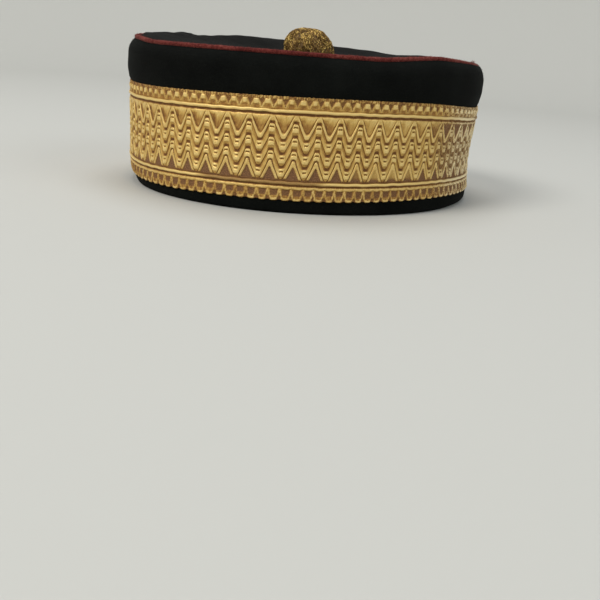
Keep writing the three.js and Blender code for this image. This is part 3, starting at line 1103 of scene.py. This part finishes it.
# %% Lower border
LOWER_BORDER_TOP = 38
SCALLOP_TOP, SCALLOP_FOOT, SCALLOP_DROP = 38.3, 38.95, 0.45
LEG_APEX, LEG_SPREAD, LEG_HALF = 39.3, 0.27, 0.36
LEG_FOOT = 43.9
PANEL_TOP, PANEL_FOOT, PANEL_HALF = 39.5, 42.2, 1.6
LOOP_MIDDLE, LOOP_HALF = 43.8, 0.42


def chart_lower_border(down):
    """Height, shade and dullness of the border below the lower cord."""
    middle = HALF / 2 - from_column
    spread = (LEG_SPREAD + 0.06 * leg_luck[0]) * (down - LEG_APEX)
    aside = np.abs(from_leg + 0.3 * leg_luck[1])
    panel = within(down, PANEL_TOP, PANEL_FOOT + 0.5 * block_luck[1], 0.25)
    panel = panel * fade(PANEL_HALF - 0.2, PANEL_HALF + 0.2, middle)
    gap = fade(-0.5, 0.1, aside - spread) * smooth(42.2, 42.9, down)
    look = tone(0.28, 0.18 + 0.24 * dash) * (1 - 0.75 * np.maximum(panel, gap))
    leg = hump(aside, np.maximum(spread, 0), LEG_HALF) * smooth(LEG_APEX - 0.2, LEG_APEX + 0.2, down)
    on_leg = smooth(0.1, 0.5, leg) * fade(LEG_FOOT - 0.3, LEG_FOOT + 0.3, down)
    look = laid_over(look, tone(0.3 + 0.3 * leg, 0.6 + 0.2 * leg_luck[1]), on_leg)
    loop_at = LOOP_MIDDLE + 0.22 * (1 - middle) + 0.14 * block_luck[0]
    loop = hump(down, loop_at, LOOP_HALF) * fade(1.1, 1.6, middle)
    look = laid_over(look, tone(0.3 + 0.35 * loop, 0.8 + 0.18 * block_luck[1]), smooth(0.1, 0.5, loop))
    scallop_foot = SCALLOP_FOOT + SCALLOP_DROP * (1 - (middle / (HALF / 2)) ** 2)
    look = laid_over(look, tone(0.66, 0.8), within(down, SCALLOP_TOP, scallop_foot, 0.16))
    look = look * smooth(LOWER_BORDER_TOP - 0.15, LOWER_BORDER_TOP + 0.15, down)
    return look + tone(0, 0, 0.7 * panel + 0.3 * gap)


print(f"the lower border's loops are {HALF:.2f} mm apart")

# %% [markdown]
# ## The gold lace: its finish
# Gilt thread is thin flat metal wound on silk. Where it floats it shines, and where it dives
# under another thread it is in shadow and the brown silk shows: the chart's shade paints both,
# the shine as painted highlight and the shadow as painted shade besides the brown. The shade
# from the chart picks the colour, from brown to pale gold, and also how metallic the thread is.
# On a stretch at the right the gold is painted paler, a painted highlight. Fine ribs run down
# the lace, one for each thread of the warp. They are far too small to model, so they are a bump.

# %% Gold thread
RIB = 0.36              # millimetres from one rib to the next
WAVE_SPACING = 0.318    # of the bands of a wave texture whose scale is 1
SPECKS = 2.2            # to a millimetre
TARNISH = 0.12
SPECK_STRENGTH, TARNISH_STRENGTH = 0.26, 0.2
BROWN = colour(104, 64, 24)
GOLDS = [
    (0.03, BROWN),
    (0.25, colour(156, 110, 46)),
    (0.6, colour(210, 170, 90)),
    (0.95, colour(240, 209, 134)),
]
# paler golds for the painted highlight on the right
HIGHLIGHT_GOLDS = [
    (0.03, BROWN),
    (0.25, colour(140, 106, 62)),
    (0.55, colour(212, 184, 132)),
    (0.85, colour(252, 236, 196)),
]
SILKS = [(0.35, colour(88, 56, 32)), (0.65, colour(146, 104, 64))]
METAL = 0.42
DULL_ROUGH, METAL_ROUGH = 0.8, 0.45


def gold_thread():
    finish = Finish("gold_lace", Specular_IOR_Level=0.5)
    place = finish.kept("place", "Vector")
    dull = finish.kept("dull")
    speck = finish.noise(place, SPECKS, 3)
    wander = finish.math("MULTIPLY", speck, SPECK_STRENGTH)
    tarnish = finish.math("MULTIPLY", finish.noise(place, TARNISH, 3), TARNISH_STRENGTH)
    middle = (SPECK_STRENGTH + TARNISH_STRENGTH) / 2
    centred = finish.math("SUBTRACT", finish.math("ADD", wander, tarnish), middle)
    varied = finish.math("ADD", finish.kept("shade"), centred, use_clamp=True)
    # mixes in the paler golds where the painted highlight lies
    gold = finish.mix(finish.kept("painted_light"), finish.ramp(varied, GOLDS), finish.ramp(varied, HIGHLIGHT_GOLDS))
    finish.use("Base Color", finish.mix(dull, gold, finish.ramp(speck, SILKS)))
    bright = finish.math("SUBTRACT", 1, dull)
    metallic = finish.math("MULTIPLY", finish.scaled(varied, 0.1, 0.6, 0, METAL), bright)
    finish.use("Metallic", metallic)
    finish.use("Roughness", finish.scaled(metallic, 0, METAL, DULL_ROUGH, METAL_ROUGH))
    wave_inputs = {"Vector": place, "Scale": WAVE_SPACING / RIB, "Distortion": 1.2, "Detail": 1}
    ribs = finish.node("TexWave", wave_inputs).outputs["Fac"]
    finish.use("Normal", finish.bump(speck, 0.3, 0.1, finish.bump(ribs, 0.35, 0.06)))
    return finish.material


gold_finish = gold_thread()
print("made", gold_finish.name)

# %% [markdown]
# ## The gold lace: weaving it
# The strip is woven as seven closed ribbons that meet in the grooves, so that each stays light:
# the two borders, the two cords, and three widths of ground that part along lines B and C. A
# ribbon is a list of rows. Each row says how far down it lies in every column, and the charts
# then give its height. The back is two plain rows close to the cloth.

# %% Rows of the lace
ROW_STEP = 0.28
RAGGED_ROWS = 3


def straight_rows(start, end, step):
    steps = max(2, round((end - start) / step))
    return [np.full(LACE_COLUMNS, d) for d in np.linspace(start, end, steps + 1)]


def zigzag_rows(start, end):
    return [row + zigzag(from_peak) for row in straight_rows(start, end, ROW_STEP)]


def blended_rows(first, last, count):
    return [first + (last - first) * i / count for i in range(1, count)]


def ragged(rows, amount):
    """Moves the first few rows by an amount that soon fades out."""
    return [row + amount * max(0, 1 - k / RAGGED_ROWS) for k, row in enumerate(rows)]


def closed(down):
    """Repeats the last row and the first one, as the two rows of the back."""
    return np.concatenate([down, down[-1:], down[:1]])


def with_back(front, back):
    """Adds the value of the back for its two rows."""
    return np.concatenate([front, np.full((2, front.shape[1]), back)])


print("rows along one zigzag band:", len(zigzag_rows(LINE_B, LINE_C)))

# %% Adding lace
BACK_SHADE = 0.1
PAINTED_HIGHLIGHT = 0.75             # how much paler the gold is painted on the right, a painted highlight
FRONT_SHARE, BACK_AT, BACK_SHARE = 0.9, 0.94, 0.04     # of the height of one stacked length
BAKE_MARGIN_ACROSS, BAKE_MARGIN_DOWN = 0.005, 0.02


def add_values(piece, name, values):
    """Keeps one number for each point, for the piece's material to read."""
    layer = piece.data.attributes.new(name, "FLOAT", "POINT")
    layer.data.foreach_set("value", np.asarray(values, np.float32).ravel())


def add_lace(name, angle, along, down, out, shade, dull):
    """Adds one closed strip of lace, and keeps what its finish needs for each point."""
    faces = grid_faces(*down.shape)
    piece = add_piece(name, lace_place(angle, down, out), faces, "lace_band", gold_finish)
    add_values(piece, "shade", shade)
    add_values(piece, "dull", dull)
    # the paler gold on the right is a painted highlight
    pale = PAINTED_HIGHLIGHT * within(np.degrees(angle), *PAINTED_HIGHLIGHT_AT)
    add_values(piece, "painted_light", np.broadcast_to(pale, down.shape))
    places = np.stack(np.broadcast_arrays(along, down, 0), -1)
    layer = piece.data.attributes.new("place", "FLOAT_VECTOR", "POINT")
    layer.data.foreach_set("vector", places.astype(np.float32).ravel())
    return piece


def bake_corners(faces, down, stacks):
    """Lays the strip out flat in stacked lengths, so that a baked picture of it stays sharp."""
    rows, columns = down.shape
    per_stack = math.ceil(columns / stacks)
    column = faces % columns
    column = np.where(column < column[:, :1] - columns // 2, column + columns, column)
    low = np.minimum(column.min(1), columns - 1)[:, None]
    stack = low // per_stack
    across = (column - stack * per_stack) / per_stack
    front = (faces // columns < rows - 2).all(1)[:, None]
    share = (down.ravel()[faces] - down.min()) / (down.max() - down.min())
    share = np.where(front, BAKE_MARGIN_DOWN + FRONT_SHARE * share, BACK_AT + BACK_SHARE * share)
    across = BAKE_MARGIN_ACROSS + (1 - 2 * BAKE_MARGIN_ACROSS) * across
    return np.stack([across, (stack + share) / stacks], -1)


# the paler gold is a painted highlight
print("the gold has gone pale by", PAINTED_HIGHLIGHT)

# %% Lace ribbons
DRIFT = 0.09            # mm by which threads wander up and down
SHADE_DRIFT = 0.05
GRAIN_SHADE = 0.07      # small differences from one float of thread to the next
GRAIN_RELIEF = 0.02
SELVAGE_GRAIN = 2       # the selvage is that much rougher, and the grazing stretch of painted shade is speckled more
GRAZING_GRAIN = 2.6
column_turn = column_along / LACE_LENGTH * math.tau


def add_lace_ribbon(name, rows, chart, seed, stacks):
    """One closed ribbon of the lace from its rows and its chart."""
    down = np.array(rows)
    drift = DRIFT * uneven(column_turn, down / 2, seed, waves=10, low=20, high=160)
    height, shade, dull = chart(down + drift)
    grain = np.random.default_rng(SEED * 10 + seed).normal(size=down.shape)
    grain = grain * (1 + SELVAGE_GRAIN * fade(0.9, 1.5, down) + GRAZING_GRAIN * grazing_shade)
    shade = shade + SHADE_DRIFT * uneven(column_turn, down, seed + 1, waves=8, low=40, high=300)
    shade = with_back(np.clip(shade + GRAIN_SHADE * grain, 0, 1), BACK_SHADE)
    out = LACE_BACK + LACE_BODY + LACE_RELIEF * np.clip(height, 0, 1) + GRAIN_RELIEF * grain
    down, out = closed(down), with_back(out, LACE_BACK)
    piece = add_lace(name, column_angle, column_along, down, out, shade, with_back(dull, 1))
    loops = np.zeros(len(piece.data.loops), np.int32)
    piece.data.loops.foreach_get("vertex_index", loops)
    corners = bake_corners(loops.reshape(-1, 4), down, stacks)
    layer = piece.data.uv_layers.new(name="OFBake")
    layer.uv.foreach_set("vector", corners.astype(np.float32).ravel())


UPPER_CORD, LOWER_CORD = 5.8, 36.6
SELVAGE_TOP = -0.25
BORDER_STEP = 0.3
FIRST_ZIGZAG = 8.3
LAST_ZIGZAG = 28.2
FRAYED = 0.12
LOOPED = 0.4            # the edge is drawn in by this much between two loops

frayed = FRAYED * uneven(column_turn, 0, 21, waves=14, low=60, high=420)
selvage_rows = ragged(straight_rows(SELVAGE_TOP, UPPER_CORD, BORDER_STEP), frayed)
add_lace_ribbon("lace_border_upper", selvage_rows, chart_upper_border, seed=31, stacks=9)

upper_rows = straight_rows(UPPER_CORD, SATIN_TOP + 0.2, 0.25)
upper_rows += blended_rows(upper_rows[-1], FIRST_ZIGZAG + zigzag(from_peak), 9)
upper_rows += zigzag_rows(FIRST_ZIGZAG, LINE_B)
add_lace_ribbon("lace_ground_upper", upper_rows, chart_ground, seed=33, stacks=6)

add_lace_ribbon("lace_ground_middle", zigzag_rows(LINE_B, LINE_C), chart_ground, seed=33, stacks=6)

lower_rows = zigzag_rows(LINE_C, LAST_ZIGZAG)
level_row = np.full(LACE_COLUMNS, LOWER_CORD)
lower_rows += [*blended_rows(lower_rows[-1], level_row, 20), level_row]
add_lace_ribbon("lace_ground_lower", lower_rows, chart_ground, seed=33, stacks=6)

drawn_in = -LOOPED * fade(0.5, 1.3, from_column)
edge_rows = ragged(straight_rows(LOWER_CORD, LACE_WIDTH, BORDER_STEP)[::-1], drawn_in)[::-1]
add_lace_ribbon("lace_border_lower", edge_rows, chart_lower_border, seed=35, stacks=8)

# %% [markdown]
# ## The gold lace: its two cords
# Each cord is a thick smooth warp thread that stands proud of the rest. It hides the place
# where the border and the ground meet. It is a flat-bottomed tube with small lumps where the
# weft ties it down.

# %% Lace cords
CORD_SIDES = 9
CORD_STEPS = 1140
TIES = REPEATS * 8
TIE_LUMPS, CORD_LUMPS = 0.05, 0.06
CORD_DRIFT = 0.12
CORD_WORN = 0.6         # how much of the gold is worn off one stretch of each cord


def add_lace_cord(name, down, half, seed, worn_from, worn_to):
    along = np.arange(CORD_STEPS) * LACE_LENGTH / CORD_STEPS
    angle = np.interp(along, lace_lengths, lace_angles)
    around = along / LACE_LENGTH * math.tau
    turn = np.linspace(0, math.pi, CORD_SIDES)[:, None]
    lumps = 1 + TIE_LUMPS * np.sin(TIES * around)
    lumps = lumps + CORD_LUMPS * uneven(around, turn, seed, waves=12, low=20, high=200)
    drift = CORD_DRIFT * uneven(around, 0, seed + 1, waves=10, low=10, high=90)
    down = closed(down + drift - half * np.cos(turn))
    out = LACE_BACK + LACE_BODY * 0.8 + LACE_RELIEF * 1.2 * np.sin(turn) ** 0.8 * lumps
    out = with_back(out, LACE_BACK + LACE_BODY * 0.3)
    worn = CORD_WORN * within(np.degrees(angle), worn_from, worn_to, 3)
    # painted shade and highlight: each cord is painted dark at its flanks, where it meets the ground, and
    # brightest along its top
    flank_shade = 0.2 + 0.8 * np.clip(np.sin(turn), 0, 1) ** 0.6
    shade = with_back(flank_shade * (1 - 0.6 * worn), BACK_SHADE)
    add_lace(name, angle, along, down, out, shade, np.broadcast_to(worn, down.shape))


add_lace_cord("lace_cord_upper", UPPER_CORD, half=0.78, seed=41, worn_from=30, worn_to=60)
add_lace_cord("lace_cord_lower", LOWER_CORD, half=0.72, seed=43, worn_from=286, worn_to=321)

# %% [markdown]
# ## The wire button
# The button is a padded dome netted over with gold wire. The core is a plain dome in dull
# brown gold. Two sets of wires climb it in opposite spirals and wave in and out as they cross,
# and small loops of finer wire are scattered over them. Wires are tubes along curves on the
# dome, made in one go.

# %% Gold wire
# the brightest stop paints glints on random patches of wire, painted highlights, where the finish is also
# smoother
WIRE_GOLDS = [(0.4, colour(88, 65, 32)), (0.52, colour(138, 105, 52)), (0.6, colour(236, 202, 114))]
WIRE_GRAIN, WIRE_PATCH, PADDING_GRAIN = 1.8, 0.3, 0.8      # to a millimetre
PADDING_BROWNS = [(0.35, colour(84, 61, 32)), (0.65, colour(136, 106, 60))]


def gold_wire():
    finish = Finish("gold_wire", Metallic=0.7, Specular_IOR_Level=0.4)
    place = finish.place()
    fine = finish.noise(place, WIRE_GRAIN / MM, 2)
    shade = finish.mix(0.6, finish.noise(place, WIRE_PATCH / MM, 4), fine)
    finish.use("Base Color", finish.ramp(shade, WIRE_GOLDS))
    finish.use("Roughness", finish.scaled(shade, 0.4, 0.62, 0.6, 0.3))
    finish.use("Normal", finish.bump(fine, 0.5, 0.1))
    return finish.material


def button_padding():
    finish = Finish("button_padding", Roughness=0.7, Metallic=0.2)
    patch = finish.noise(finish.place(), PADDING_GRAIN / MM, 4)
    finish.use("Base Color", finish.ramp(patch, PADDING_BROWNS))
    finish.use("Normal", finish.bump(patch, 0.6, 0.2))
    return finish.material


wire_finish = gold_wire()
padding_finish = button_padding()
print("made", wire_finish.name, "and", padding_finish.name)

# %% Shape of the button
BUTTON_HALF = 13.25
BUTTON_HEIGHT = 14.3
BUTTON_WAIST = 0.16
BUTTON_SEAT = 0.68
BUTTON_SQUARENESS = 0.7     # the dome is squarest on the side away from which it leans
BUTTON_ONE_SIDED = 0.13
BUTTON_FULLER = 0.045       # and it is this much wider there
BUTTON_SHIFT = 1.2
BUTTON_LEAN = 1.8
BUTTON_LEAN_AT = math.radians(225)
BUTTON_LUMPS = 0.016, 0.014
BUTTON_FOOT = CAP_HEIGHT - CROWN_DIP + SEAM_GAP


def on_button(rise, angle, out):
    """Point on the dome. Rise goes from -1 at the seat through 0 at the waist to 1 at the top."""
    rise, angle, out = np.broadcast_arrays(rise, angle, out)
    waist = BUTTON_FOOT + BUTTON_HEIGHT * BUTTON_WAIST
    turn = rise * math.pi / 2
    leaning = np.cos(angle - BUTTON_LEAN_AT)
    seat = BUTTON_HALF * BUTTON_SEAT
    under = seat + (BUTTON_HALF - seat) * np.cos(turn)
    over = BUTTON_HALF * np.abs(np.cos(turn)) ** (BUTTON_SQUARENESS + BUTTON_ONE_SIDED * leaning)
    radius = np.where(rise < 0, under, over) * (1 - BUTTON_FULLER * leaning)
    lumps = 1 + BUTTON_LUMPS[0] * np.sin(5 * angle + 2 * rise)
    lumps = lumps + BUTTON_LUMPS[1] * np.sin(11 * angle - 6 * rise)
    radius = radius * lumps + out * np.cos(turn)
    tall = np.where(rise < 0, waist - BUTTON_FOOT, BUTTON_FOOT + BUTTON_HEIGHT - waist)
    height = waist + tall * np.sin(turn) + out * np.sin(turn)
    lean = BUTTON_SHIFT + BUTTON_LEAN * smooth(BUTTON_FOOT, BUTTON_FOOT + BUTTON_HEIGHT, height)
    return np.stack([
        radius * np.cos(angle) + lean * math.cos(BUTTON_LEAN_AT),
        radius * np.sin(angle) + lean * math.sin(BUTTON_LEAN_AT),
        height,
    ], -1)


print("top of the button, mm:", on_button(1.0, 0.0, 0.0).round(1))

# %% Button
NET_DEPTH = 0.35        # the net's middle lies this far inside the dome's outer size
CORE_DEPTH = NET_DEPTH + 0.3
CORE_AROUND = 96
CORE_UNDER, CORE_OVER = 9, 36
WIRE_RADIUS = 0.2
NET_STRANDS = 56
NET_STEPS = 58
NET_SPIN = 1.6
NET_WEAVE = 0.16
LOOP_COUNT = 560
LOOP_POINTS = 12
LOOP_RADIUS = 0.15
LOOP_SMALL, LOOP_LARGE = 0.35, 0.8
LOOP_WIDTH = 0.6        # against its length
RISE_TO_A_MM = 0.64 / 11


def make_button_core():
    under = np.linspace(-1, 0, CORE_UNDER)[:-1]
    rise = np.concatenate([under, np.linspace(0, 0.995, CORE_OVER)])[:, None]
    points = on_button(rise, round_angles(CORE_AROUND), -CORE_DEPTH)
    points = np.concatenate([points, points[:1] * [0.01, 0.01, 1]])
    faces = grid_faces(len(points), CORE_AROUND)
    add_piece("button_core", points, faces, "button", padding_finish)


def make_button_net():
    """Two crossing sets of wires from the seat to the top."""
    rise = np.linspace(-0.85, 0.985, NET_STEPS)
    paths = []
    dice = random.Random(SEED)
    for way in (-1, 1):
        for k in range(NET_STRANDS):
            start = (k + dice.uniform(-0.25, 0.25)) * math.tau / NET_STRANDS
            angle = start + way * NET_SPIN * dice.uniform(0.8, 1.2) * (rise + 1) / 2
            angle = angle + 0.05 * np.sin(9 * rise + dice.uniform(0, math.tau))
            weave = way * NET_WEAVE * np.sin(NET_STRANDS / 2 * (angle - way * start))
            paths.append(on_button(rise, angle, weave - NET_DEPTH))
    points, faces = tubes(np.array(paths), WIRE_RADIUS, 6)
    add_piece("button_net", points, faces, None, wire_finish)


def make_button_loops():
    """Small loops of finer wire scattered over the net."""
    dice = random.Random(SEED + 1)
    turn = round_angles(LOOP_POINTS)
    paths = []
    for _ in range(LOOP_COUNT):
        rise = dice.uniform(-0.5, 0.97)
        angle = dice.uniform(0, math.tau)
        size = dice.uniform(LOOP_SMALL, LOOP_LARGE)
        tilt = dice.uniform(0, math.pi)
        along = size * np.cos(turn)
        across = size * LOOP_WIDTH * np.sin(turn)
        aside = along * math.cos(tilt) - across * math.sin(tilt)
        up = along * math.sin(tilt) + across * math.cos(tilt)
        out = dice.uniform(0, 0.25) - NET_DEPTH + 0.15 * np.sin(turn + dice.uniform(0, math.tau))
        wide = BUTTON_HALF * max(math.cos(rise * math.pi / 2), 0.15)
        rise = np.clip(rise + up * RISE_TO_A_MM, -0.95, 0.995)
        paths.append(on_button(rise, angle + aside / wide, out + WIRE_RADIUS))
    points, faces = tubes(np.array(paths), LOOP_RADIUS, 4, closed=True)
    add_piece("button_loops", points, faces, None, wire_finish)


make_button_core()
make_button_net()
make_button_loops()

# %% [markdown]
# ## Loose fibres
# Wool never has a clean edge. A few thousand short fibres stand out of the piping and of the
# cloth beside it, and one loose tuft has worked out of the seam on the right. Each fibre is a
# thin spike with its root in the cloth, and its place and lean come from a seeded die.

# %% Fibres
FIBRE_WIDTH = 0.045
RIM_RINGS = 34          # rings of the top that carry fibres
TUFT_AT = 27
TUFT_LENGTH = 2
TUFT_LEAN = np.array([[0.35, 0.2, 0.9]])


def fuzz_on(name, points, count, length, material, seed):
    """Scatters fibres over a grid of points, pointing out of the cloth."""
    dice = np.random.default_rng(SEED + seed)
    row = dice.integers(0, len(points) - 1, count)
    column = dice.integers(0, points.shape[1], count)
    root = points[row, column]
    beside = points[row, (column + 1) % points.shape[1]] - root
    outward = np.cross(beside, points[row + 1, column] - root)
    outward /= np.linalg.norm(outward, axis=1, keepdims=True) + 1e-9
    spikes, faces = fibres(root, outward, length, FIBRE_WIDTH, seed)
    add_piece(name, spikes, faces, None, material)


def add_tuft():
    """A small tuft of red wool that has come loose from the piping."""
    column = round(TUFT_AT / 360 * PIPING_AROUND)
    nearby = piping_points[2:5, column - 2:column + 3].reshape(-1, 3)
    spikes, faces = fibres(np.tile(nearby, (4, 1)), TUFT_LEAN, TUFT_LENGTH, FIBRE_WIDTH * 1.6, 57)
    add_piece("piping_tuft", spikes, faces, None, piping_finish)


shoulder_rows = side_points[FOLD_STEPS + WALL_STEPS:OUTER_ROWS]
rim_rings = crown_points[CROWN_RINGS - RIM_RINGS:CROWN_RINGS]
fuzz_on("piping_fibres", piping_points, 5000, 0.85, piping_finish, seed=51)
fuzz_on("side_fibres", shoulder_rows, 4000, 0.7, side_finish, seed=53)
fuzz_on("crown_fibres", rim_rings, 6000, 0.8, crown_finish, seed=55)
add_tuft()

# %% [markdown]
# ## Stage and light
# The cap stands on a pale floor that curves up all round into a low wall, so that no corner or
# horizon shows from any side. A large soft light from the upper left models the lace, a
# weaker one from the right opens its shadows, and the sky fills the rest.

# %% Stage
STAGE_FLAT = 900
STAGE_CURVE = 400
STAGE_WALL = 250
STAGE_AROUND = 96
STAGE_INNER = [0.5, 200, 500]


def make_stage():
    turn = np.linspace(0, math.pi / 2, 12)
    curve_radius = STAGE_FLAT + STAGE_CURVE * np.sin(turn)
    curve_height = STAGE_CURVE * (1 - np.cos(turn))
    radius = np.concatenate([STAGE_INNER, curve_radius, [STAGE_FLAT + STAGE_CURVE]])[:, None]
    flat = np.zeros(len(STAGE_INNER))
    height = np.concatenate([flat, curve_height, [STAGE_CURVE + STAGE_WALL]])[:, None]
    angle = round_angles(STAGE_AROUND)
    points = np.broadcast_arrays(radius * np.cos(angle), radius * np.sin(angle), height)
    faces = grid_faces(len(radius), STAGE_AROUND, close_section=False).tolist()
    finish = Finish("pale_stage", Roughness=0.85, Base_Color=colour(190, 190, 185), Specular_IOR_Level=0.2)
    middle = list(range(STAGE_AROUND))
    stage = add_mesh("stage", np.stack(points, -1).reshape(-1, 3), faces + [middle], finish.material)


make_stage()
print("the stage is", 2 * (STAGE_FLAT + STAGE_CURVE), "mm across")

# %% Light
# where each lamp stands in metres, how large and strong it is, and its colour
Lamp = namedtuple("Lamp", "name right near up size power tint")
LAMPS = [
    Lamp("key", -1, 0.95, 1.35, 0.8, 21.5, (1, 0.98, 0.94)),
    Lamp("fill", 1.3, 0.8, 0.95, 1.1, 7.5, (0.88, 0.95, 1)),
    Lamp("top", 0, -0.4, 1.8, 1.3, 15, (1, 1, 1)),
]
SKY_STRENGTH = 0.4

for lamp in LAMPS:
    area = bpy.data.lights.new(lamp.name, "AREA")
    area.shape = "DISK"
    area.size = lamp.size
    area.energy = lamp.power
    area.color = lamp.tint
    light = bpy.data.objects.new(lamp.name, area)
    light.location = lamp.right * towards_right + lamp.near * towards_camera + Vector((0, 0, lamp.up))
    light.rotation_euler = (TARGET - light.location).to_track_quat("-Z", "Y").to_euler()
    bpy.context.scene.collection.objects.link(light)

world = bpy.data.worlds.new("sky")
world.use_nodes = True
world.node_tree.nodes["Background"].inputs["Color"].default_value = colour(226, 228, 230)
world.node_tree.nodes["Background"].inputs["Strength"].default_value = SKY_STRENGTH
bpy.context.scene.world = world
bpy.context.scene.view_settings.view_transform = "Standard"
print(len(LAMPS), "lights are up")
